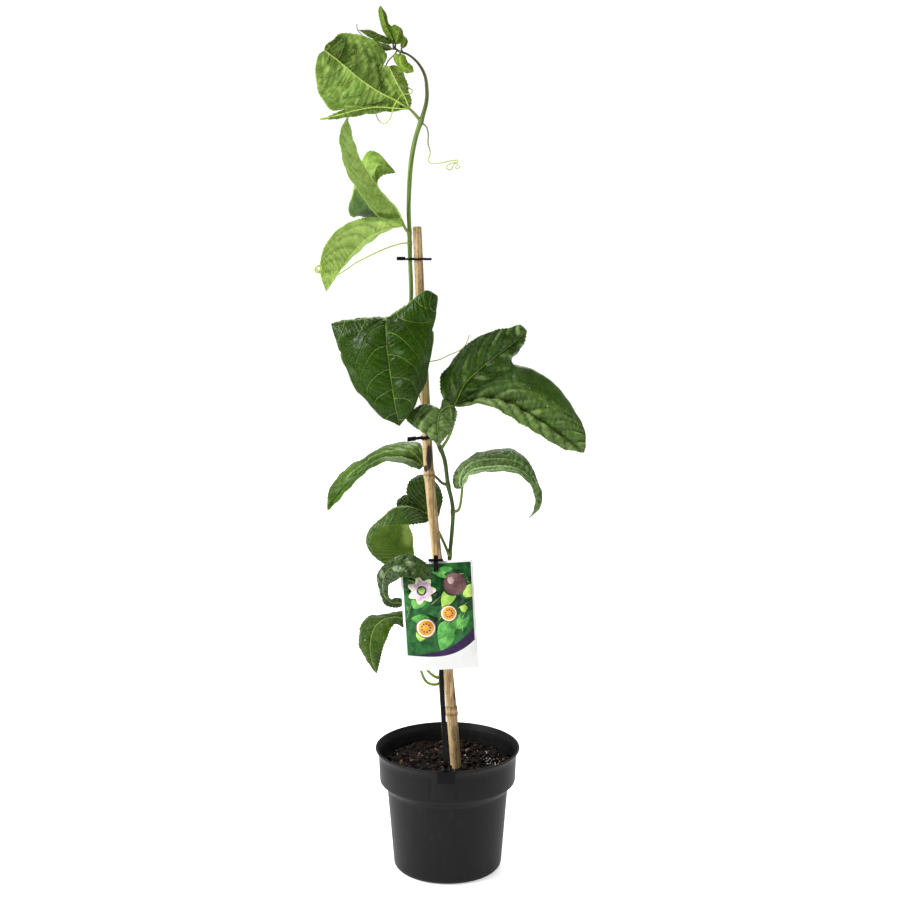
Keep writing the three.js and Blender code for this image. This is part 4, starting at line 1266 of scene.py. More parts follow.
    def relief(self, points: Array) -> tuple[Array, Array]:
        """How high the blade stands between its veins, and how thick its side veins are below.

        Args:
            points: The blade's points.

        Returns:
            Each point's relief and the thickness of the vein under it.
        """
        total = np.zeros((len(points), 3))
        gap = self.finish.gap * MM
        for half in self.halves:
            away = np.abs(half.phase - np.round(half.phase)) * gap
            turn = half.phase - np.floor(half.phase)
            bulge = turn**1.4 * (1 - turn) ** 0.7 / 0.263
            bulge = bulge + (half.ripple - 0.5) * self.finish.ripple / self.pleat
            rib_away = np.exp(-((half.rib / ((0.8 + 0.9 * self.pleat) * MM)) ** 2))
            fade = 1 - smooth_step(0.6, 0.98, half.share) * 0.8
            fade = fade * (1 - 0.85 * smooth_step(0.7, 1.0, half.rib / (self.pleat_width * MM)))
            height = self.pleat * MM * bulge * (1 - rib_away) * fade
            height = height - 0.15 * MM * rib_away * self.grown
            ridge = 0.25 * MM * np.exp(-((away / (0.5 * MM)) ** 2)) * (1 - 0.7 * half.share)
            batch = np.stack([height, ridge, np.ones_like(height)], axis=-1)
            np.add.at(total, half.index.ravel(), batch.reshape(-1, 3))
        weight = np.maximum(total[:, 2], 1)
        blisters = np.array([grain(p, 210) + 0.5 * grain(p, 480) for p in points])
        return total[:, 0] / weight + self.crinkle * MM * blisters, total[:, 1] / weight

    def shell(self, form: Form) -> tuple[Array, Array]:
        """Adds the blade's two faces and its edge to a form.

        Args:
            form: The form.

        Returns:
            The blade's middle points and their upward directions.
        """
        quads = [quad for half in self.halves for quad in half.quads()]
        faces = [face for face, _ in quads]
        places = np.vstack([place for _, place in quads])
        points = self.soften(np.array(self.points), faces)
        height, ridge = self.relief(points)
        points = points + normals_of(points, faces) * height[:, None]
        up = normals_of(points, faces)
        half = self.thickness * MM / 2
        upper, lower = points + up * half, points - up * (half + ridge)[:, None]
        count = len(points)
        under_faces = [[i + count for i in face[::-1]] for face in faces]
        under_places = np.vstack([place[::-1] for _, place in quads])
        directed = {(a, b) for f in faces for a, b in zip(f, [*f[1:], f[0]])}
        rim = [[b, a, a + count, b + count] for a, b in sorted(directed) if (b, a) not in directed]
        form.add(
            np.vstack([upper, lower]),
            faces + under_faces + rim,
            0,
            np.vstack([places, under_places, np.tile([0.98, 0.5, 30.0, 0.5, 0.0, 0.5], (4 * len(rim), 1))]),
        )
        for i in range(len(faces), len(form.faces)):
            form.marks[i] = 1
        return points, up

    def ribs(self, form: Form, points: Array, up: Array) -> None:
        """Adds a raised rib under each lobe's vein.

        Args:
            form: The form.
            points: The blade's middle points.
            up: Their upward directions.
        """
        if not self.grown:
            return
        thick = 0.5 * self.stalk_radius * MM
        for vein in self.veins:
            keep = vein[: int(0.93 * len(vein))]
            share = np.linspace(0, 1, len(keep))
            radii = thick * (1 - 0.72 * share)
            route = points[keep] - up[keep] * (0.25 * radii + 0.05 * MM)[:, None]
            route[0] = points[0]
            rib, faces, _, places = tube(route, radii, 8)
            form.add(rib, faces, 1, np.tile([0.3, 0.1, 0.0, 0.5, 0.0, 0.5], (len(places), 1)))

    def stalk(self, form: Form) -> None:
        """Adds the stalk, from its flared foot on the stem to the blade, and its two glands.

        Args:
            form: The form.
        """
        base = metres([self.base])
        first = metres([self.lobes[len(self.lobes) // 2].vein[0]])
        inside = base + 0.4 * (first - base)
        route = spline(np.vstack([metres(self.petiole), base, inside]), 90)
        share = np.linspace(0, 1, len(route))
        flare = 0.45 * np.exp(-lengths(route) / (2.2 * MM))
        form.add(*tube(route, self.stalk_radius * MM * (1.12 - 0.25 * share + flare), 14, 2))
        if not self.grown:
            return
        at = np.argmin(np.linalg.norm(route - base, axis=1)) - 6
        along = unit(route[at + 1] - route[at])
        across = unit(np.cross(along, [0.0, 0.0, 1.0]))
        for sign in (-1, 1):
            gland = bmesh.new()
            bmesh.ops.create_icosphere(gland, subdivisions=2, radius=0.62 * MM)
            points, faces = taken(gland)
            form.add(points + route[at] + sign * across * 0.85 * MM, faces, 3)

    def build(self) -> None:
        """Builds the leaf."""
        self.grow()
        form = Form()
        points, up = self.shell(form)
        self.ribs(form, points, up)
        self.stalk(form)
        materials = [*map(self.finish.material, Face), self.stalk_finish.material(), BUD.material()]
        form.piece(f"{self.node}_blade", materials, self.slot, self.node)


@dataclass
class YoungLeaf(Leaf):
    """One of the small leaves of the tip."""

    steps: int = 5
    columns: int = 10
    pleat: float = 0.35
    crinkle: float = 0.12
    wave: float = 0.3
    tooth: float = 0.4
    thickness: float = 0.45
    stalk_radius: float = 0.7
    slot: str = "young_leaf"
    grown: bool = False


def normals_of(points: Array, faces: Faces) -> Array:
    """The upward direction at each point of a surface.

    Args:
        points: The points.
        faces: The faces, whose corners turn anticlockwise as seen from above.

    Returns:
        A direction for each point.
    """
    triangles = np.array([(f[0], f[i], f[i + 1]) for f in faces for i in range(1, len(f) - 1)])
    a, b, c = (points[triangles[:, k]] for k in range(3))
    cross = np.cross(b - a, c - a)
    total = np.zeros_like(points)
    for k in range(3):
        np.add.at(total, triangles[:, k], cross)
    return unit(total)


# Points along the middle of the stem and of the cane, from the foot to the top, in millimetres.
STEM_ROUTE = [(-2, -12, 71.5), (-2, -12, 106.5), (-4.5, -10, 156.5), (-6.5, -7.5, 196.5), (-2, -3.5, 259.5),
    (2, -7, 313), (5, -8, 363), (0.5, -7.5, 386), (-3, -7, 410.5), (-9, -6.5, 425.5), (-16.5, -3, 442),
    (-23, -1.5, 462), (-28.5, -4.5, 485.5), (-32, -8.5, 514), (-34, -9, 547), (-33.5, -9.5, 570.5),
    (-34.5, -9.5, 599), (-35, -9, 625.5), (-35.5, -9, 648.5), (-33, -10, 688.5), (-28.5, -11, 711),
    (-23, -12, 727), (-19, -12, 741.5), (-18.5, -12, 752), (-20.5, -11, 765.5), (-27, -10, 776.5),
    (-35.5, -9, 783.5), (-43.5, -8, 786.5), (-48.5, -8, 790)]
CANE_ROUTE = [(14.5, -15, 26), (0.5, -12.5, 204), (-17.5, -10, 400), (-19.5, -9.5, 437.5), (-24, -8, 533),
    (-28, -7, 628.5)]

# The leaves' patches are painted highlights and sheen, or painted shade below 0.
LEAVES = [
    Leaf("leaf_top", PALE_LEAF, (-34, -17, 735), [(-24, -12, 724), (-29, -14, 730)], [
        Lobe([(-39, -19, 747), (-46, -19, 759), (-53, -12, 773)],
             [(-33, -12, 743), (-38, -8, 762), (-41, -7, 770), (-48, -8, 774)],
             [(-57, -10, 774)]),
        Lobe([(-47, -20, 743), (-61, -23, 750), (-79, -25, 762), (-92, -24, 773), (-105, -19, 783),
              (-111, -13, 787)],
             [(-56, -7, 778), (-55, -6, 783), (-68, -6, 797), (-96, -7, 802), (-104, -9, 796),
              (-110, -11, 791)],
             [(-105, -12, 734), (-114, -10, 745), (-118, -10, 754), (-119, -10, 764), (-119, -11, 774),
              (-116, -12, 783)]),
        Lobe([(-48, -20, 736), (-64, -21, 737), (-83, -20, 734), (-102, -18, 729), (-116, -16, 726)],
             [(-98, -15, 733), (-107, -15, 729)],
             [(-40, -15, 734), (-61, -13, 732), (-105, -14, 726)])
    ], [Cleft(4, [(-59, -9, 772)]), Cleft(5, [(-94, -14, 735)])],
        pleat=1.6, lean=0.15, curl=34.0, weave=0.15, patch_y=-19,
        patches=(PaintedPatch(-103, 785, 18, 17, -1.3), PaintedPatch(-78, 793, 2, 4, -0.7), PaintedPatch(-74, 787, 3, 5, -0.7),
            PaintedPatch(-69, 780, 3, 5, -0.7), PaintedPatch(-63, 771, 3, 6, -0.7), PaintedPatch(-60, 760, 3, 8, -0.7),
            PaintedPatch(-105, 763, 14, 9, -0.4), PaintedPatch(-82, 793, 14, 7, 0.4), PaintedPatch(-45, 759, 9, 16, 0.6))),
    Leaf("leaf_upper", BRIGHT_LEAF, (-40, -14, 630), [(-35, -9, 623), (-38, -12, 626)], [
        Lobe([(-51, 0, 643), (-63, 9, 662), (-68, 15, 675), (-63, 18, 684), (-48, 17, 677)],
             [(-46, 0, 642), (-57, 6, 656), (-63, 10, 661), (-65, 14, 669), (-60, 16, 675)],
             [(-91, 28, 648), (-87, 28, 665), (-80, 26, 688), (-73, 23, 696), (-65, 21, 695),
              (-55, 19, 685)], (0.1, 0.1)),
        Lobe([(-46, -18, 645), (-60, -20, 660), (-70, -19, 675), (-80, -16, 691), (-87, -11, 709),
              (-91, -6, 728)],
             [(-92, 22, 639), (-91, 22, 649), (-83, 17, 661), (-80, 9, 681), (-87, 0, 711)],
             [(-63, -35, 640), (-79, -41, 662), (-90, -40, 679), (-97, -28, 709), (-95, -18, 720)],
             (0.1, 0.2)),
        Lobe([(-56, -20, 627), (-74, -25, 619), (-86, -28, 607), (-96, -29, 593), (-111, -28, 571)],
             [(-65, -25, 638), (-86, -33, 635), (-100, -38, 627), (-111, -40, 612), (-115, -38, 601),
              (-115, -33, 585)],
             [(-57, -8, 624), (-76, -10, 611), (-87, -12, 601), (-98, -16, 590), (-107, -22, 577)],
             (0.6, 0.3))
    ], [Cleft(4, [(-86, 22, 634)]), Cleft(3, [(-54, -24, 636)])],
        pleat=0.9, crown=0.02, patch_y=-10,
        patches=(PaintedPatch(-62, 638, 22, 6, -1.2),)),
    Leaf("leaf_front", LOOPED_LEAF, (-56, -31, 547),
        [(-34, -9, 541), (-39, -15, 542), (-47, -22, 543), (-53, -27, 546)], [
        Lobe([(-47, -34, 552), (-35, -37, 561), (-19, -38, 573), (-9, -34, 568)],
             [(-51, -22, 544), (-35, -20, 551), (-20, -24, 560)],
             [(-10, -37, 554)]),
        Lobe([(-56, -42, 540), (-55, -49, 522), (-48, -52, 471), (-44, -47, 449)],
             [(-13, -41, 530), (-14, -43, 520), (-17, -46, 506), (-20, -48, 489), (-27, -50, 477),
              (-30, -50, 467), (-39, -49, 456)],
             [(-97, -37, 510), (-91, -41, 498), (-85, -45, 484), (-76, -47, 475), (-68, -49, 466),
              (-59, -49, 457), (-51, -48, 454)]),
        Lobe([(-69, -34, 547), (-87, -32, 545), (-107, -25, 541)],
             [(-103, -30, 529)],
             [(-65, -22, 543), (-87, -16, 539)])
    ], [Cleft(7, [(-45, -42, 544), (-29, -44, 542), (-13, -41, 539)]),
        Cleft(7, [(-67, -42, 542), (-83, -43, 531), (-99, -36, 517)])],
        pleat=0.9, lean=0.12, curl=32.0, tooth=1.1, patch_y=-40,
        patches=(PaintedPatch(-82, 523, 5, 3, 0.25), PaintedPatch(-44, 490, 4, 5, 0.28), PaintedPatch(-44, 518, 5, 2, 0.25),
            PaintedPatch(-88, 500, 3, 5, 0.3), PaintedPatch(-19, 512, 4, 5, 0.25))),
    Leaf("leaf_right", DARK_LEAF, (6, -24, 464),
        [(-6, -7, 420), (-1, -9, 428), (3, -14, 437), (6, -20, 450), (6, -22, 458)], [
        Lobe([(-1, -31, 464), (-7, -38, 460), (-9, -44, 449), (-8, -45, 438), (-8, -43, 429)],
             [(8, -27, 459), (6, -35, 452), (1, -41, 441), (-4, -43, 436)],
             [(-7, -33, 462), (-14, -35, 466), (-25, -36, 466), (-38, -38, 455), (-29, -42, 447),
              (-19, -44, 441), (-12, -44, 434)], (0.3, 0.3)),
        Lobe([(15, -19, 482), (21, -16, 489), (44, -5, 507), (59, 3, 517), (75, 9, 530)],
             [(-6, -26, 481), (-6, -23, 491), (2, -18, 501), (9, -12, 510), (16, -8, 517), (30, -3, 526),
              (45, 2, 531), (59, 6, 533), (68, 9, 535)],
             [(60, 2, 505), (66, 5, 510), (72, 8, 520)]),
        Lobe([(25, -20, 467), (43, -18, 468), (58, -19, 465), (71, -20, 458), (88, -22, 448),
              (117, -23, 427), (128, -22, 419)],
             [(68, 1, 498), (79, 0, 495), (101, -4, 481), (121, -11, 454), (127, -15, 442), (129, -19, 431)],
             [(12, -26, 463), (19, -30, 465), (29, -33, 467), (41, -36, 465), (80, -36, 442),
              (97, -33, 431), (109, -29, 424), (121, -25, 421)], (0.2, 0.55))
    ], [Cleft(2, [(-4, -27, 471)]), Cleft(6, [(61, 0, 500)])],
        pleat=3.0, crinkle=0.45, lean=0.7, tooth=1.2, pleat_width=26.0, bloom_and_sheen_width=22.0,
        stalk_finish=OLD_STALK),
    Leaf("leaf_left", LEFT_LEAF, (-23, 2, 402),
        [(1, -7, 385), (-5, -2, 386), (-9, 2, 389), (-17, 4, 396)], [
        Lobe([(-40, -5, 411), (-55, -10, 412), (-67, -12, 409), (-82, -13, 399), (-97, -13, 383),
              (-114, -11, 361)],
             [(-26, -3, 400), (-31, -14, 403), (-39, -22, 408), (-56, -28, 412), (-72, -28, 405),
              (-91, -25, 387), (-106, -18, 369)],
             [(-22, 9, 410), (-27, 15, 421), (-37, 17, 422), (-55, 15, 420), (-68, 11, 415), (-78, 7, 409),
              (-94, 1, 401), (-112, -6, 380)], (0.5, 0.5))
    ], pleat=0.7, lean=1.2, bloom_and_sheen_span=(-1.0, 0.4), folds=(-0.35, 0.3, 0.75), stalk_finish=OLD_STALK,
        patch_y=-9,
        patches=(PaintedPatch(-25, 407, 13, 8, -0.4),)),
    Leaf("leaf_inner", PLEATED_LEAF, (-17, 2, 353), [(2, -9, 316), (-2, -5, 325), (-12, 2, 345)], [
        Lobe([(-28, -1, 360), (-40, -5, 364), (-52, -8, 362), (-63, -9, 353), (-74, -8, 343),
              (-78, -6, 330), (-74, -3, 319), (-65, 0, 310), (-53, 3, 302)],
             [(-19, -3, 349), (-34, -14, 349), (-56, -17, 348), (-66, -15, 344), (-72, -12, 336),
              (-73, -9, 326), (-69, -6, 317), (-61, -2, 308)],
             [(-37, 13, 354), (-37, 14, 341), (-34, 13, 332), (-33, 11, 321), (-33, 9, 310), (-42, 6, 303)]),
        Lobe([(-27, 7, 361), (-39, 13, 365), (-49, 17, 358)],
             [(-43, 16, 356)],
             [(-39, 14, 371), (-43, 17, 369), (-48, 18, 365)], (0.3, 0.3)),
        Lobe([(-19, 8, 367), (-22, 13, 379), (-22, 20, 386), (-17, 26, 386)],
             [(-39, 12, 375), (-37, 15, 382), (-33, 19, 386), (-26, 24, 388)],
             [(-9, 4, 352), (-7, 6, 358), (-5, 9, 366), (-6, 13, 374), (-10, 20, 380)], (0.2, 0.2))
    ], [Cleft(3, [(-33, 10, 356)]), Cleft(4, [(-36, 11, 365)])],
        pleat=1.3, crinkle=0.2, lean=1.5, patch_y=4,
        patches=(PaintedPatch(-38, 333, 8, 15, 2.0), PaintedPatch(-48, 326, 3, 8, -0.6))),
    Leaf("leaf_curled", OLD_LEAF, (-41, -42, 280),
        [(-6, -8, 196), (-10, -11, 196), (-19, -17, 205), (-30, -22, 227), (-36, -25, 250),
         (-38, -34, 267), (-40, -40, 276)], [
        Lobe([(-51, -47, 281), (-58, -53, 288), (-60, -59, 303), (-55, -65, 317), (-44, -70, 323),
              (-31, -72, 323), (-21, -72, 319), (-13, -70, 312)],
             [(-45, -41, 275), (-59, -49, 281), (-62, -50, 290), (-65, -53, 303), (-64, -57, 313),
              (-56, -63, 323), (-45, -67, 331), (-35, -69, 333), (-25, -70, 329), (-17, -70, 321)],
             [(-43, -46, 285), (-48, -52, 287), (-52, -58, 288), (-55, -60, 293), (-54, -65, 303),
              (-47, -73, 310), (-41, -77, 314), (-31, -78, 314), (-22, -76, 313)])
    ], pleat=1.4, patch_y=-64,
        patches=(PaintedPatch(-46, 320, 6, 3, 0.6), PaintedPatch(-60, 312, 3, 5, 0.6), PaintedPatch(-34, 325, 5, 3, 0.5))),
    Leaf("leaf_low", LOW_LEAF, (-40, -34, 261),
        [(-6, -8, 190), (-11, -14, 190), (-16, -19, 192), (-21, -24, 197), (-25, -29, 208),
         (-29, -32, 227), (-35, -34, 249)], [
        Lobe([(-49, -40, 265), (-60, -46, 264), (-68, -50, 258), (-72, -52, 245), (-72, -51, 230),
              (-67, -46, 211)],
             [(-42, -46, 257), (-50, -53, 262), (-56, -57, 251), (-60, -56, 241)],
             [(-43, -24, 266), (-53, -26, 264), (-61, -28, 263), (-72, -32, 264), (-80, -36, 259),
              (-83, -42, 238), (-74, -44, 221)])
    ], pleat=1.0),
    Leaf("leaf_arch", WRINKLED_LEAF, (14, -8, 382), [(5, -8, 359), (10, -9, 361), (12, -10, 366)], [
        Lobe([(15, -12, 391), (24, -18, 402), (38, -21, 405), (53, -22, 406), (67, -21, 402),
              (78, -19, 392), (84, -16, 377), (84, -14, 363), (76, -12, 353)],
             [(7, -4, 382), (6, 1, 389), (8, 4, 397), (17, 4, 407), (29, 3, 414), (42, 1, 417),
              (58, 0, 419), (68, -2, 415), (78, -5, 405), (84, -9, 391), (89, -12, 378), (89, -12, 369),
              (84, -12, 360)],
             [(17, -17, 389), (22, -28, 399), (35, -34, 403), (49, -36, 404), (64, -34, 402),
              (79, -27, 387), (82, -17, 365)], (0.2, 0.2))
    ], pleat=1.3, crinkle=0.4, lean=3.0, folds=(-0.3, 0.12, 0.5, 0.85), stalk_finish=OLD_STALK),
    YoungLeaf("young_leaf_tall", YOUNG_LEAF, (-47, -7, 792.5), [(-47.5, -8, 789)], [
        Lobe([(-44.5, -11, 800), (-43, -12, 806), (-47.5, -9, 810)],
             [(-41.5, -8, 794), (-40, -7, 801), (-41, -7, 806)],
             [(-49, -8, 809.5)]),
        Lobe([(-52, -9, 802.5), (-56.5, -9, 812), (-58.5, -7, 821), (-60.5, -4, 827)],
             [(-53.5, -6, 811.5), (-55, -5, 819.5), (-58, -4, 824)],
             [(-51, -6, 794.5), (-55, -5, 799.5), (-59.5, -5, 808), (-61.5, -4, 817), (-62, -4, 824)])
    ], [Cleft(4, [(-50.5, -7, 808)])]),
    YoungLeaf("young_leaf_narrow", YOUNG_LEAF, (-49.5, -12, 793.5), [(-48.5, -8, 789.5)], [
        Lobe([(-58, -15, 796.5), (-67.5, -15, 800.5), (-80, -12, 805)],
             [(-52.5, -17, 792.5), (-59, -19, 794), (-69.5, -18, 798.5)],
             [(-52, -10, 796.5), (-59, -10, 800.5), (-68.5, -10, 804.5)])
    ]),
    YoungLeaf("young_leaf_under", YOUNG_LEAF, (-49.5, -3, 788.5), [(-47, -8, 788.5)], [
        Lobe([(-56, 1, 790.5), (-63, 4, 793.5), (-68.5, 6, 797.5)],
             [(-52, -2, 787.5), (-57, -2, 787.5), (-63.5, 1, 791)],
             [(-53.5, 4, 792), (-60, 7, 794), (-64.5, 7, 797)])
    ]),
    YoungLeaf("young_leaf_hanging", TENDER_LEAF, (-42.5, -13, 784), [(-43, -8, 786)], [
        Lobe([(-43, -16, 779.5), (-40.5, -17, 773), (-30.5, -15, 768)],
             [(-38.5, -13, 782.5), (-36, -13, 777), (-32, -13, 773)],
             [(-47.5, -13, 783.5), (-48, -13, 778.5), (-38, -15, 767.5)])
    ]),
    YoungLeaf("stipule_leaf", YOUNG_LEAF, (-41.5, -11, 788.5), [(-40.5, -8.5, 785.5)], [
        Lobe([(-39.5, -12, 792.5), (-37.5, -12, 797), (-40, -10, 801)],
             [(-42, -11, 792.5), (-40, -10, 797.5)],
             [(-37, -12, 791), (-36, -11, 796)])
    ]),
]

TENDRIL_ROUTES = {
    "tendril_tip": [(-45, -8, 787.5), (-48, -7, 783.5), (-54, -4, 777.5), (-56, 2, 770), (-49, 4, 760),
         (-38.5, 3, 755.5), (-32, -6, 752), (-33, -16, 749), (-36, -23, 748.5), (-41.5, -27, 747),
         (-45, -30, 742.5), (-49, -28, 735), (-51, -24, 728), (-57.5, -14, 722), (-62.5, -8, 725),
         (-65.5, -3, 731), (-72.5, 3, 747.5), (-78, 5, 770), (-79.5, 4, 789.5), (-78, 2, 801.5),
         (-80.5, 1, 804), (-82, 1, 807.5), (-82, 1, 811)],
    "tendril_left": [(-34.5, -9.5, 613.5), (-39, -14, 614), (-46.5, -20, 613), (-58, -28, 609.5),
         (-83, -39, 598), (-92, -42, 592), (-100.5, -43, 587.5), (-109.5, -43, 587), (-116, -43, 589.5),
         (-119.5, -43, 594)],
    "tendril_right": [(-24, -12, 723.5), (-19, -13, 719), (-17.5, -14, 713.5), (-17.5, -17, 704),
         (-15.5, -19, 696), (-17.5, -20, 689.5), (-15.5, -21, 687), (-6.5, -23, 687), (3, -24, 689),
         (9.5, -24, 689.5), (9, -24.5, 688), (4, -25.5, 687), (0, -26.5, 685), (-0.5, -26.5, 682.5),
         (2, -26, 681), (4.5, -24.5, 682.5), (5.5, -23, 685), (8, -22, 687), (9.5, -22.5, 685.5),
         (8, -23.5, 684), (7.5, -23.5, 682.5), (9.5, -23, 682), (11.5, -22.5, 684.5)],
    "tendril_mid": [(-31.5, -8.5, 509.5), (-27.5, -2, 504), (-22, 0, 501.5), (-14.5, -4, 503),
         (-7, -10, 505.5), (1.5, -16, 510.5), (12.5, -19, 516), (17, -19, 521), (20.5, -18, 529.5)],
}

# The coil at the end of the left tendril.
COIL_START = (-121, -43, 591)
COIL_AXIS = (0.3, -0.6, 0.4)
COIL_SIDE = (-1, 0, -0.3)
COIL_RADIUS = 3.6
COIL_PITCH = 1.9
COIL_TURNS = 3
COIL_STEPS = 12
COIL_TIGHTENING = 0.35


@dataclass
class Stem:
    """The vine's stem: its route and where stalks and tendrils leave it, in millimetres."""

    route: list[Point]
    forks: list[Point]
    sides: int = 20
    samples: int = 720

    def radii(self, route: Array) -> Array:
        """Thins the stem at its tip and swells it where something leaves it.

        Args:
            route: Points along it.

        Returns:
            The radius at each point.
        """
        share = np.linspace(0, 1, len(route))
        thinning = np.clip((share - 0.88) / 0.12, 0, 1) ** 1.2
        radii = STEM_RADIUS * (1 + 0.14 * smooth_step(0.76, 0.86, share))
        radii += (0.6 * STEM_TIP_RADIUS - radii) * thinning
        gaps = np.linalg.norm(route[:, None] - metres(self.forks), axis=2).min(axis=1)
        radii = radii * (1 + 0.22 * np.exp(-((gaps / (3.2 * MM)) ** 2)))
        ripple = np.array([noise.noise(Vector(p * 90)) for p in route])
        return radii * (1 + 0.05 * ripple)

    def build(self) -> None:
        """Builds the stem."""
        route = spline(metres(self.route), self.samples)
        form = Form()
        form.add(*tube(route, self.radii(route), self.sides, lobing=0.045))
        form.piece("stem_skin", [STEM.material()], "stem", "vine_stem")


def coil() -> Array:
    """Winds the end of the left tendril.

    Returns:
        The coil's points, in metres.
    """
    ahead, out = unit(np.array(COIL_AXIS)), unit(np.array(COIL_SIDE))
    up = np.cross(ahead, out)
    centre = np.array(COIL_START) - COIL_RADIUS * out
    steps = COIL_TURNS * COIL_STEPS
    number = np.arange(2, steps + 1)[:, None]
    turn = 2 * math.pi * number / COIL_STEPS
    tight = COIL_RADIUS * (1 - COIL_TIGHTENING * number / steps)
    return (
        centre + COIL_PITCH * number / COIL_STEPS * ahead + tight * (np.cos(turn) * out + np.sin(turn) * up)
    ) * MM


@dataclass
class Tendril:
    """One tendril, with its route in metres."""

    node: str
    route: Array
    finish: StalkFinish

    def build(self) -> None:
        """Builds the tendril, thinner towards its end."""
        length = lengths(self.route)[-1]
        route = spline(self.route, int(length / (0.5 * MM)))
        share = np.linspace(0, 1, len(route))
        flare = 0.6 * np.exp(-lengths(route) / (2 * MM))
        form = Form()
        form.add(*tube(route, TENDRIL_RADIUS * (0.95 - 0.4 * share + flare), 10))
        form.piece(f"{self.node}_skin", [self.finish.material()], "tendril", self.node)


# The cane and its ties.


@dataclass
class Cane:
    """The bamboo cane, in millimetres: swollen nodes, sharp rims on them, and a hollow cut top.

    Its profile is [radius, height] along it.
    """

    route: list[Point]
    profile: tuple[tuple[float, float], ...] = (
        (5.2, 0), (5.2, 122), (5.4, 130), (6, 136), (6.05, 140), (5.2, 143.5), (4.8, 170), (4.7, 250),
        (4.7, 330), (4.8, 364), (5.45, 370.5), (5.4, 373.5), (4.8, 376), (4.65, 410), (4.35, 500),
        (4.05, 600),
    )
    ridges: tuple[float, ...] = (135.0, 141.0, 369.5, 374.5)
    bore: float = 1.9
    bore_depth: float = 12.0
    sides: int = 56

    def build(self) -> None:
        """Builds the cane."""
        middle = spline(metres(self.route), 620)
        along = lengths(middle) / MM
        radii = np.interp(along, [h for _, h in self.profile], [r for r, _ in self.profile])
        for ridge in self.ridges:
            radii += 0.3 * np.exp(-(((along - ridge) / 0.9) ** 2))
        first, second = sweep_frames(middle)
        turn = round_turns(self.sides)
        right, out = np.cos(turn), np.sin(turn)
        rings = []
        for i, (centre, radius) in enumerate(zip(middle, radii)):
            places = [Vector((3 * x, 3 * y, along[i] / 55)) for x, y in zip(right, out)]
            flute = np.array([noise.noise(place) for place in places])
            scar = sum(math.exp(-(((along[i] - ridge) / 1.6) ** 2)) for ridge in self.ridges)
            ragged = scar * 0.16 * np.sin(9 * turn + 2 * flute)
            ring = (radius * (1 + 0.018 * flute) + ragged) * MM
            rings.append(centre + np.outer(ring * right, first[i]) + np.outer(ring * out, second[i]))
        rim = rings[-1]
        inner = middle[-1] + (rim - middle[-1]) * (self.bore / radii[-1])
        depth = unit(middle[-2] - middle[-1]) * self.bore_depth * MM
        edge = middle[-1] + (rim - middle[-1]) * 0.93
        worn_rim = rim - (rim - edge) * 0.2 + depth * 0.02
        points = np.vstack([*rings[:-1], worn_rim, edge, inner, inner + depth])
        count = len(points) // self.sides
        faces = ring_faces(count, self.sides) + end_faces(count, self.sides)
        form = Form()
        form.add(points, faces)
        cut = (count - 3) * self.sides
        form.marks[cut:-2] = [1] * (len(faces) - cut - 2)
        form.marks[-1] = 1
        form.piece("cane_rod", [CANE.material(), CANE_PITH.material()], "cane", "cane")


@dataclass
class Tie:
    """A plastic tie round cane and stem, in millimetres: a strap that rises to the right as a slope."""

    node: str
    height: float
    strap_height: float
    cane_radius: float
    blocks: tuple[Block, ...]
    rise: float = 0.0
    slack: float = 0.5
    thickness: float = 1.1

    def around(self, cane: Array, stem: Array) -> tuple[Array, Array]:
        """The strap's inner line round cane and stem.

        Args:
            cane: The middle of the cane at the tie.
            stem: The middle of the stem there.

        Returns:
            The line's points, and the directions out of it.
        """
        heading = math.atan2(stem[1] - cane[1], stem[0] - cane[0])
        wide, narrow = self.cane_radius + self.slack, STEM_RADIUS / MM + self.slack
        lap = math.acos((wide - narrow) / np.linalg.norm((stem - cane)[:2]))
        far = np.linspace(heading + lap, heading - lap + 2 * math.pi, 48)
        near = np.linspace(heading - lap, heading + lap, 32)
        points, out = [], []
        for centre, radius, turns in ((cane, wide, far), (stem, narrow, near)):
            ways = np.column_stack([np.cos(turns), np.sin(turns)])
            points.append(centre[:2] + radius * ways)
            out.append(ways)
        return np.vstack(points), np.vstack(out)

    def build(self, cane_route: Array, stem_route: Array) -> None:
        """Builds the tie.

        Args:
            cane_route: Points along the cane.
            stem_route: Points along the stem.
        """
        cane, stem = (r[np.argmin(np.abs(r[:, 2] - self.height))] for r in (cane_route, stem_route))
        line, out = self.around(cane, stem)
        half, thick, soft = self.strap_height / 2, self.thickness, 0.2
        section = [
            (0, -half + soft), (soft, -half), (thick - soft, -half), (thick, -half + soft),
            (thick, half - soft), (thick - soft, half), (soft, half), (0, half - soft),
        ]
        rings = [np.insert(line + far * out, 2, self.height + up, axis=1) for far, up in section]
        form = Form()
        faces = [face[::-1] for face in ring_faces(len(line), len(section), closed=True)]
        form.add(np.stack(rings, axis=1).reshape(-1, 3) * MM, faces)
        for block in self.blocks:
            form.add(*block.solid(0.35))
        for batch in form.points:
            batch[:, 2] += self.rise * (batch[:, 0] - cane[0] * MM)
        form.piece(f"{self.node}_strap", [BLACK_PLASTIC.material()], "black_plastic", self.node)


TIES = (
    Tie(
        "tie_upper", 599, 1.8, 4.1,
        (
            Block((7.9, 3, 3.2), (-42.85, -9.8, 599.5)),
            Block((3, 1.3, 1.8), (-38.3, -9.8, 599)),
            Block((7.8, 2.8, 2.1), (-18.4, -7.5, 598.8)),
        ),
    ),
    Tie(
        "tie_lower", 432, 3.2, 4.65,
        (Block((8.0, 3, 4.0), (-33.8, -11, 432)), Block((6, 1.6, 2.8), (-27.2, -11, 432))),
        rise=0.12,
    ),
)


# The label.


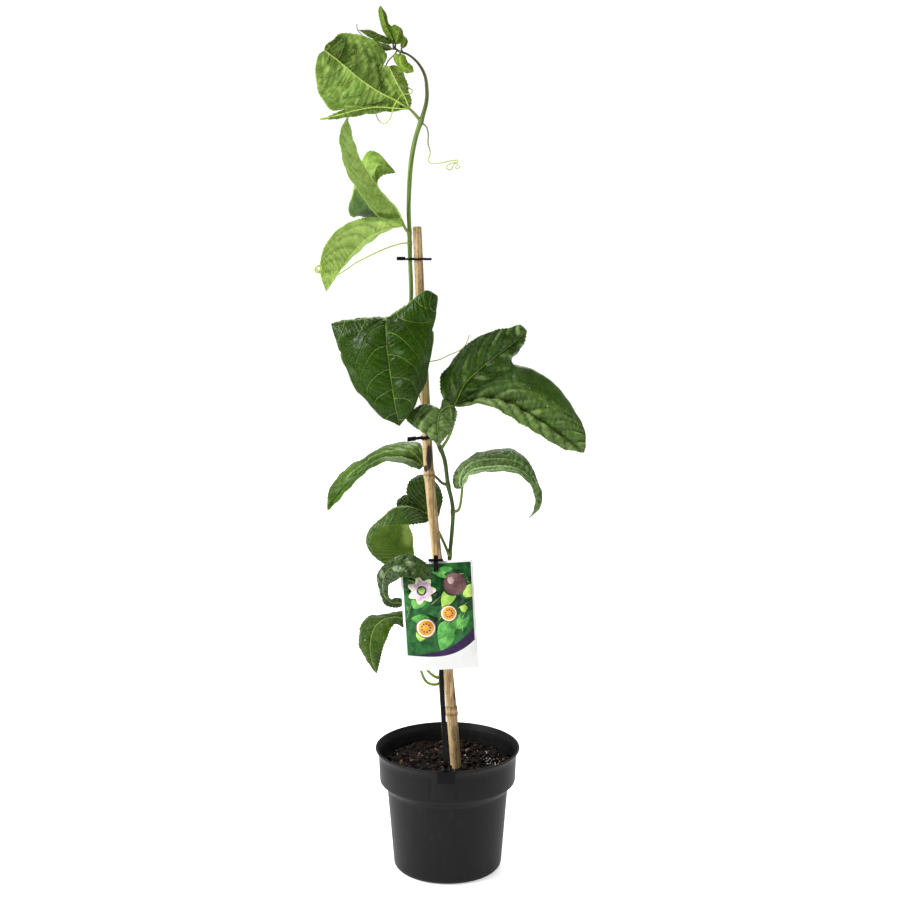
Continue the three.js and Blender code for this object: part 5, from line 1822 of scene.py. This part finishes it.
class Ink(Enum):
    """The colours of the label's print, each with its finish."""

    GROUND = PrintFinish("ink_ground", "#1c4822", "#2f7036")
    DEEP = PrintFinish("ink_deep", "#0c2712", "#1a4420")
    LEAF = PrintFinish("ink_leaf", "#3f8a3c", "#69b256")
    FRESH = PrintFinish("ink_fresh", "#8fbe4a", "#b6d56a")
    PLUM = PrintFinish("ink_plum", "#2d1a3f", "#3a2450")
    SKIN = PrintFinish("ink_skin", "#5a3a3c", "#7a5a58", grain=90)
    SHEEN = PrintFinish("ink_sheen", "#a98f8c", "#c7b3ae")
    ORANGE = PrintFinish("ink_orange", "#d98a2b", "#eba944")
    CREAM = PrintFinish("ink_cream", "#efe6c8", "#f7f1dc")
    LILAC = PrintFinish("ink_lilac", "#c9a9c4", "#efe3ee")


@dataclass
class Label:
    """The picture label: a card, its print, and the black stake that holds it.

    The print is a plain design of leaves, round fruit and a blossom, with no words. Wide and high
    are half its width and half its height.
    """

    size: Point = (67.5, 0.6, 104.5)
    centre: Point = (-7.5, -63, 273)
    tilt: float = -3.2
    wide: float = 31.65
    high: float = 50.15
    layer: float = 0.03
    print_form: Form = field(default_factory=Form)
    layers: int = 0

    def on_card(self, points: Array) -> Array:
        """Puts points on the card.

        Args:
            points: [right, up, out] rows from the card's middle, in millimetres.

        Returns:
            The points in the frame.
        """
        turn = math.radians(self.tilt)
        right = points[:, 0] * math.cos(turn) + points[:, 1] * math.sin(turn)
        up = -points[:, 0] * math.sin(turn) + points[:, 1] * math.cos(turn)
        return (np.column_stack([right, -points[:, 2], up]) + self.centre) * MM

    def build_card(self) -> None:
        """Builds the card, with round corners."""
        corner = 2.2
        wide, high = self.size[0] / 2 - corner, self.size[2] / 2 - corner
        outline = []
        for x, y, start in ((wide, high, 0), (-wide, high, 90), (-wide, -high, 180), (wide, -high, 270)):
            outline.append(round_line((x, y), corner, np.radians(np.linspace(start, start + 90, 9))))
        points, faces = slab(np.vstack(outline), -self.size[1] / 2, self.size[1] / 2)
        form = Form()
        form.add(self.on_card(points), faces)
        form.piece("label_paper", [CARD.material()], "card", "label_card")

    def ink(self, outline: Array, ink: Ink) -> None:
        """Prints a flat shape over the rest.

        Args:
            outline: Its corners on the card, anticlockwise.
            ink: Its colour.
        """
        low = self.size[1] / 2 + self.layers * self.layer * 0.25
        points, faces = slab(outline, low, low + self.layer)
        self.print_form.add(self.on_card(points), faces, list(Ink).index(ink))
        self.layers += 1

    def lower_edge(self, right: Array, drop: float) -> Array:
        """The height of the picture's lower edge at places across it, or of one that drops below it."""
        share = (right + self.size[0] / 2) / self.size[0]
        return -36.5 + 27 * share**3.2 - drop * share**1.2

    def sprig(self, at: Point, heading: float, long: float, ink: Ink) -> None:
        """Prints a pointed leaf with its vein.

        Args:
            at: Its foot, and its width as a share of its length.
            heading: The way that it points, in degrees.
            long: Its length.
            ink: Its colour.
        """
        share = np.linspace(0, 1, 20)
        half = at[2] * long * np.sin(math.pi * share**0.8) ** 0.9 / 2
        turn = math.radians(heading)
        ahead, left = np.array([math.cos(turn), math.sin(turn)]), np.array([-math.sin(turn), math.cos(turn)])
        foot = np.array(at[:2])
        right_side = foot + np.outer(share * long, ahead) - np.outer(half, left)
        left_side = foot + np.outer(share * long, ahead) + np.outer(half, left)
        self.ink(self.framed(np.vstack([right_side, left_side[-2:0:-1]])), ink)
        vein = foot + np.outer([0.04 * long, 0.9 * long], ahead)
        edge = 0.22 * left
        self.ink(self.framed(np.array([vein[0] - edge, vein[1], vein[0] + edge])), Ink.FRESH)

    def framed(self, outline: Array) -> Array:
        """Keeps an outline inside the picture."""
        right = np.clip(outline[:, 0], -self.wide, self.wide)
        return np.column_stack([right, np.clip(outline[:, 1], self.lower_edge(right, 0) + 0.1, self.high)])

    def disc(self, centre: Sequence[float], radius: float, ink: Ink, wobble: float = 0.0) -> None:
        """Prints a round shape.

        Args:
            centre: Its middle.
            radius: Its radius.
            ink: Its colour.
            wobble: How uneven it is, as a share of the radius.
        """
        turn = round_turns(40)
        reach = radius * (1 + wobble * np.sin(3 * turn) + 0.6 * wobble * np.cos(5 * turn))
        self.ink(self.framed(round_line(centre, reach, turn)), ink)

    def slice(self, centre: Sequence[float], radius: float) -> None:
        """Prints a cut round fruit: skin, cream rind, orange flesh and a ring of pips.

        Args:
            centre: Its middle.
            radius: Its radius.
        """
        for share, ink in ((1.0, Ink.SKIN), (0.9, Ink.CREAM), (0.76, Ink.ORANGE)):
            self.disc(centre, radius * share, ink, 0.01)
        for place in round_line(centre, 0.42 * radius, round_turns(9)):
            self.disc(place, 0.085 * radius, Ink.PLUM)

    def blossom(self, centre: Sequence[float], radius: float) -> None:
        """Prints an open flower with pale petals round a green middle.

        Args:
            centre: Its middle.
            radius: Its radius.
        """
        turn = round_turns(120)
        for ink, reach, depth, shift in ((Ink.CREAM, 1.0, 0.3, 0.0), (Ink.LILAC, 0.78, 0.26, 0.4)):
            edge = radius * reach * (1 - depth * np.sin(3.5 * turn + shift) ** 2)
            self.ink(self.framed(round_line(centre, edge, turn)), ink)
        self.disc(centre, 0.34 * radius, Ink.PLUM)
        self.disc(centre, 0.24 * radius, Ink.FRESH, 0.08)

    def build_print(self) -> None:
        """Builds the picture's layers."""
        right = np.linspace(-self.wide, self.wide, 40)
        for drop, ink in ((13.0, Ink.PLUM), (0.0, Ink.GROUND)):
            low = np.column_stack([right, self.lower_edge(right, drop)])
            self.ink(np.vstack([low, [(self.wide, self.high), (-self.wide, self.high)]]), ink)
        draw = random.Random(5)
        for number in range(34):
            foot = (draw.uniform(-26, 26), draw.uniform(-24, 42), draw.uniform(0.42, 0.6))
            ink = (Ink.DEEP, Ink.LEAF, Ink.GROUND, Ink.DEEP, Ink.LEAF, Ink.FRESH)[number % 6]
            self.sprig(foot, draw.uniform(0, 360), draw.uniform(15, 26), ink)
        self.blossom((-15, 25), 13.5)
        self.disc((16, 30), 10.5, Ink.SKIN)
        self.disc((12.5, 33.5), 3.2, Ink.SHEEN, 0.05)
        self.slice((-13, -11), 9.5)
        self.slice((9, 2), 8)
        self.disc((23, 6), 3.4, Ink.FRESH, 0.1)
        self.print_form.piece("label_print", (ink.value.material() for ink in Ink), "card")

    def build_stake(self) -> None:
        """Builds the stake: a strip behind the card, a tongue through its top and a hook over the rim."""
        half = self.size[1] / 2 + 0.3
        thick = 1.5
        front, back = self.centre[1] - half, self.centre[1] + half
        strip = bmesh.new()
        outline = ((-12.3, 330.5), (-9.1, 330.5), (1.8, 108), (-3.0, 108))
        corners = [strip.verts.new((x, y, z)) for y in (back, back + thick) for x, z in outline]
        rings = corners[:4], corners[4:]
        strip.faces.new(rings[0])
        strip.faces.new(rings[1][::-1])
        for i in range(4):
            k = (i + 1) % 4
            strip.faces.new((rings[0][k], rings[0][i], rings[1][i], rings[1][k]))
        bmesh.ops.recalc_face_normals(strip, faces=strip.faces)
        points, faces = bevelled(strip, 0.35)
        form = Form()
        form.add(points * MM, faces)
        tongue = front - thick / 2
        top, rim = 330.5, 122.7 + thick
        hook = -70.7 - thick / 2
        blocks = (
            Block((4, thick, 15), (-10.6, tongue, top - 7.5)),
            Block((4, back - front + 2 * thick, thick), (-10.6, (front + back) / 2, top - thick / 2)),
            Block((14, thick, 2.4), (-10.6, tongue, top - 4)),
            Block((17, thick, 13), (-1.3, hook, rim - 6.5)),
            Block((7, 10, thick), (-1.3, hook - thick / 2 + 5, rim - thick / 2)),
        )
        for block in blocks:
            form.add(*block.solid(0.4))
        form.piece("label_holder", [BLACK_PLASTIC.material()], "black_plastic", "label_stake")


# The pot and its soil.


@dataclass
class Pot:
    """The moulded nursery pot, in millimetres.

    Its profile is [radius, height] from the middle of its base, up outside and down inside.
    Grooves in the front of its collar and ribs in the back of its inside have places and widths.
    """

    profile: tuple[tuple[float, float], ...] = (
        (0, 0), (8, 0), (44, 0), (46, 0.2), (50.6, 1.2), (52.4, 3.2), (53, 5.4), (56, 43), (59, 80),
        (59.3, 81.6), (60.2, 83), (65.4, 88.4), (66.2, 89.4), (66.4, 90.6), (66.9, 103), (67.3, 115.6),
        (68.2, 117.4), (69.6, 119.8), (70.3, 121), (70.5, 121.7), (70.3, 122.3), (69.8, 122.6),
        (69.3, 122.6), (68.8, 122.1), (68.3, 120.8), (66.6, 117.6), (66, 115.8), (65.2, 103), (64.8, 90.8),
        (64, 89.6), (58.3, 83.6), (57.6, 82.4), (54.4, 43), (51.4, 5), (50.4, 3.2), (48.6, 2.4), (8, 2.4),
        (0, 2.4),
    )
    grooves: tuple[tuple[float, float], ...] = ((-15.6, 3.7), (9.6, 4.7))
    ribs: tuple[tuple[float, float], ...] = ((-4, 2.6), (24, 3.2))
    groove_depth: float = 0.8
    rib_depth: float = 0.7
    holes: int = 8
    hole_circle: float = 36.0
    hole_radius: float = 5.0
    segments: int = 288

    def rounded(self) -> Array:
        """Divides the profile's long straight stretches.

        Returns:
            The divided profile, in metres.
        """
        rows = [self.profile[0]]
        for start, end in zip(self.profile, self.profile[1:]):
            steps = max(1, round(math.dist(start, end) / 4.0)) if start[0] > 8 else 1
            rows += [
                (start[0] + (end[0] - start[0]) * k / steps, start[1] + (end[1] - start[1]) * k / steps)
                for k in range(1, steps + 1)
            ]
        return np.array(rows) * MM

    def build(self) -> None:
        """Builds the pot."""
        points, faces = lathe(self.rounded(), round_turns(self.segments))
        radius = np.hypot(points[:, 0], points[:, 1])
        height = points[:, 2] / MM
        rows = smooth_step(91, 92.5, height) * (1 - smooth_step(115, 116.5, height))
        front = self.groove_depth * rows * (radius > 65.9 * MM) * (points[:, 1] < 0)
        inside = (radius > 60 * MM) * (radius < 66 * MM) * (height > 90)
        back = self.rib_depth * inside * (points[:, 1] > 0)
        for places, depth in ((self.grooves, front), (self.ribs, back)):
            for place, width in places:
                near = np.exp(-((np.abs(points[:, 0] / MM - place) / (width / 2)) ** 4))
                points[:, :2] *= (1 - depth * near * MM / np.maximum(radius, 1e-6))[:, None]
        form = Form()
        form.add(points, faces)
        self.drill(form.piece("pot_wall", [POT.material()], "pot", "pot"))

    def drill(self, pot: Object) -> None:
        """Cuts the drain holes through the pot's base.

        Args:
            pot: The pot.
        """
        body = bmesh.new()
        radius = self.hole_radius * MM
        turns = round_turns(self.holes) + math.pi / self.holes
        for x, y in round_line((0, 0), self.hole_circle * MM, turns):
            bmesh.ops.create_cone(
                body, cap_ends=True, segments=40, radius1=radius, radius2=radius, depth=12 * MM,
                matrix=Matrix.Translation((x, y, 0)),
            )
        drills = poured("drills", body)
        cut = pot.modifiers.new("drain_holes", "BOOLEAN")
        cut.operation, cut.solver, cut.object = "DIFFERENCE", "EXACT", drills
        bpy.context.view_layer.update()
        done = pot.evaluated_get(bpy.context.evaluated_depsgraph_get())
        mesh = bpy.data.meshes.new_from_object(done)
        pot.modifiers.clear()
        pot.data = mesh
        mesh.shade_smooth()
        bpy.data.objects.remove(drills)


@dataclass
class Soil:
    """The potting mix, in millimetres: its lumpy surface, crumbs, bark chips and white grit."""

    radius: float = 64.6
    rings: int = 90
    turns: int = 260
    seed: int = 7

    def surface(self, x: float, y: float) -> float:
        """Finds the surface at a place.

        Args:
            x: The place's x, in metres.
            y: Its y.

        Returns:
            The surface's height, in metres.
        """
        place = Vector((x, y, 0.0))
        broad = noise.noise(place * 45) * 1.9
        middle = noise.noise(place * 130 + Vector((5, 0, 0))) * 1.3
        fine = noise.noise(place * 380) * 0.75 + noise.noise(place * 900) * 0.35
        return SOIL_LEVEL + (broad + middle + fine) * MM

    def build_bed(self) -> None:
        """Builds the bed that fills the pot."""
        top = np.linspace(self.radius, 0, self.rings + 1)[:-1]
        profile = [(0, 2.8), (50, 2.8), (51.1, 5.2), (57, 83), (64.1, 91.4)]
        profile += [(r, SOIL_LEVEL / MM) for r in top] + [(0, SOIL_LEVEL / MM)]
        points, faces = lathe(np.array(profile) * MM, round_turns(self.turns))
        for point in points:
            if point[2] > SOIL_LEVEL - 1e-6:
                point[2] = self.surface(point[0], point[1])
        form = Form()
        form.add(points, faces)
        form.piece("soil_bed", [SOIL.material()], "soil", "soil")

    def crumb(self, draw: random.Random, size: Point, detail: int) -> Solid:
        """An irregular lump.

        Args:
            draw: The source of its shape.
            size: Its half length, width and height.
            detail: How finely it is divided.

        Returns:
            Points about its own middle, and faces.
        """
        body = bmesh.new()
        bmesh.ops.create_icosphere(body, subdivisions=detail, radius=1.0)
        seed = Vector([draw.uniform(-50, 50) for _ in range(3)])
        points = []
        for vert in body.verts:
            push = 1 + 0.45 * noise.noise(vert.co * 1.4 + seed)
            blocky = Vector([math.copysign(abs(c) ** 0.6, c) for c in vert.co])
            points.append([push * c * s * MM for c, s in zip(blocky, size)])
        _, faces = taken(body)
        turn = Matrix.Rotation(draw.uniform(0, 2 * math.pi), 3, "Z")
        turn = turn @ Matrix.Rotation(draw.gauss(0, 0.6), 3, "X")
        turn = turn @ Matrix.Rotation(draw.gauss(0, 0.4), 3, "Y")
        return np.array(points) @ np.array(turn).T, faces

    def scatter(
        self, name: str, finish: CrumbFinish, count: int, low: Point, high: Point,
        near: Sequence[float] = (0.0, 0.0), spread: float = 64.6,
    ) -> None:
        """Scatters lumps over the surface, as one piece.

        Args:
            name: The piece's name.
            finish: Its finish.
            count: How many lumps there are.
            low: The smallest half sizes.
            high: The largest half sizes.
            near: The middle of the scatter.
            spread: How far it reaches.
        """
        draw = random.Random(f"{name}{self.seed}")
        form = Form()
        while count:
            turn, far = draw.uniform(0, 2 * math.pi), spread * math.sqrt(draw.random())
            x, y = near[0] + far * math.cos(turn), near[1] + far * math.sin(turn)
            size = tuple(draw.uniform(a, b) for a, b in zip(low, high))
            if math.hypot(x, y) > self.radius - max(size) - 0.6:
                continue
            points, faces = self.crumb(draw, size, 1 if max(size) < 1.0 else 2)
            height = self.surface(x * MM, y * MM) + draw.uniform(0.1, 0.7) * size[2] * MM
            form.add(points + np.array([x * MM, y * MM, height]), faces)
            count -= 1
        form.piece(name, [finish.material()], "soil")

    def build(self) -> None:
        """Builds the bed and what lies on it."""
        self.build_bed()
        self.scatter("soil_crumbs", SOIL, 900, (0.6, 0.6, 0.5), (1.7, 1.5, 1.2))
        self.scatter("bark_chips", BARK, 300, (1.6, 1.2, 0.6), (5.8, 3.4, 1.9))
        self.scatter("bark_pale", TAN_BARK, 90, (0.8, 0.6, 0.4), (3.2, 1.6, 0.9))
        self.scatter("perlite_grains", PERLITE, 90, (0.4, 0.4, 0.3), (1.0, 0.9, 0.8), (28.0, 12.0), 26.0)
        self.scatter("perlite_stray", PERLITE, 40, (0.4, 0.4, 0.3), (0.9, 0.8, 0.7))


# The studio.


@dataclass
class Studio:
    """The floor, the lights and the camera, with its pitch in degrees.

    The room is as bright in front of the part, and the backdrop behind it, as their numbers say.
    """

    camera_place: Point = (0.0024, -1.675, 0.7416)
    pitch: float = 10.95
    lens: float = 72.0
    room: float = 0.08
    backdrop: float = 1.06
    backdrop_span: tuple[float, float] = (-0.6, 0.9)

    def floor(self) -> None:
        """Lays a pale floor that glows a little, as an overlit one does."""
        body = bmesh.new()
        bmesh.ops.create_circle(body, cap_ends=True, segments=96, radius=2.4)
        floor = poured("studio_floor", body)
        shader = Shader(bpy.data.materials.new("studio_white"))
        colour = shader.mix(shader.noise(3, 2), "#f4f4f4", "#f8f8f8")
        glow = {"Specular_IOR_Level": 0.0, "Emission_Color": (1, 1, 1, 1), "Emission_Strength": 0.55}
        floor.data.materials.append(shader.dress(colour, 0.9, **glow))

    def light(self, name: str, place: Point, aim: Point, size: float, power: float) -> None:
        """Hangs a soft square light.

        Args:
            name: Its name.
            place: Where it hangs, in metres.
            aim: What it points at.
            size: The length of its side, in metres.
            power: Its power, in watts.
        """
        lamp = bpy.data.lights.new(name, "AREA")
        lamp.energy, lamp.size = power, size
        hung = placed(name, lamp)
        hung.location = place
        hung.rotation_euler = (Vector(aim) - Vector(place)).to_track_quat("-Z", "Y").to_euler()

    def surroundings(self, world: bpy.types.World) -> None:
        """Puts a white backdrop behind the part and a dimmer room in front.

        Args:
            world: The world that shows them.
        """
        shader = Shader(world)
        away = shader.parts(shader.node("TexCoord").outputs["Generated"])[1]
        light = shader.tree.nodes["Background"].inputs
        shader.feed(light["Strength"], shader.span(away, *self.backdrop_span, self.room, self.backdrop))
        light["Color"].default_value = (1, 1, 1, 1)

    def build(self) -> None:
        """Sets up the studio."""
        scene = bpy.context.scene
        scene.world = bpy.data.worlds.new("studio")
        scene.view_settings.view_transform = "Standard"
        self.floor()
        self.surroundings(scene.world)
        self.light("key", (-1.7, -0.8, 1.5), (0, 0, 0.45), 0.7, 56)
        self.light("fill", (1.8, -0.9, 0.9), (0, 0, 0.4), 1.0, 9)
        self.light("top", (-0.4, -0.6, 2.3), (0, 0, 0.45), 0.5, 11)
        self.light("back", (0.3, 1.5, 2.0), (0, 0, 0.5), 1.2, 20)
        lens = bpy.data.cameras.new("main_view")
        lens.lens, lens.sensor_width = self.lens, 36.0
        camera = placed("main_view", lens)
        camera.location = self.camera_place
        camera.rotation_euler = (math.radians(90 - self.pitch), 0, 0)
        scene.camera = camera


def main() -> None:
    """Builds every piece."""
    logging.basicConfig(level=logging.INFO, format="%(message)s")
    Studio().build()
    Pot().build()
    Soil().build()
    Cane(CANE_ROUTE).build()
    forks = [leaf.petiole[0] for leaf in LEAVES] + [route[0] for route in TENDRIL_ROUTES.values()]
    Stem(STEM_ROUTE, forks).build()
    cane_line, stem_line = (spline(np.array(r, dtype=float), 600) for r in (CANE_ROUTE, STEM_ROUTE))
    for tie in TIES:
        tie.build(cane_line, stem_line)
    label = Label()
    label.build_card()
    label.build_print()
    label.build_stake()
    for leaf in LEAVES:
        leaf.build()
    for node, route in TENDRIL_ROUTES.items():
        points = metres(route)
        finish = BROWN_TENDRIL if node == "tendril_right" else TENDRIL
        Tendril(node, np.vstack([points, coil()]) if node == "tendril_left" else points, finish).build()
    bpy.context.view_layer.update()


if __name__ == "__main__":
    main()
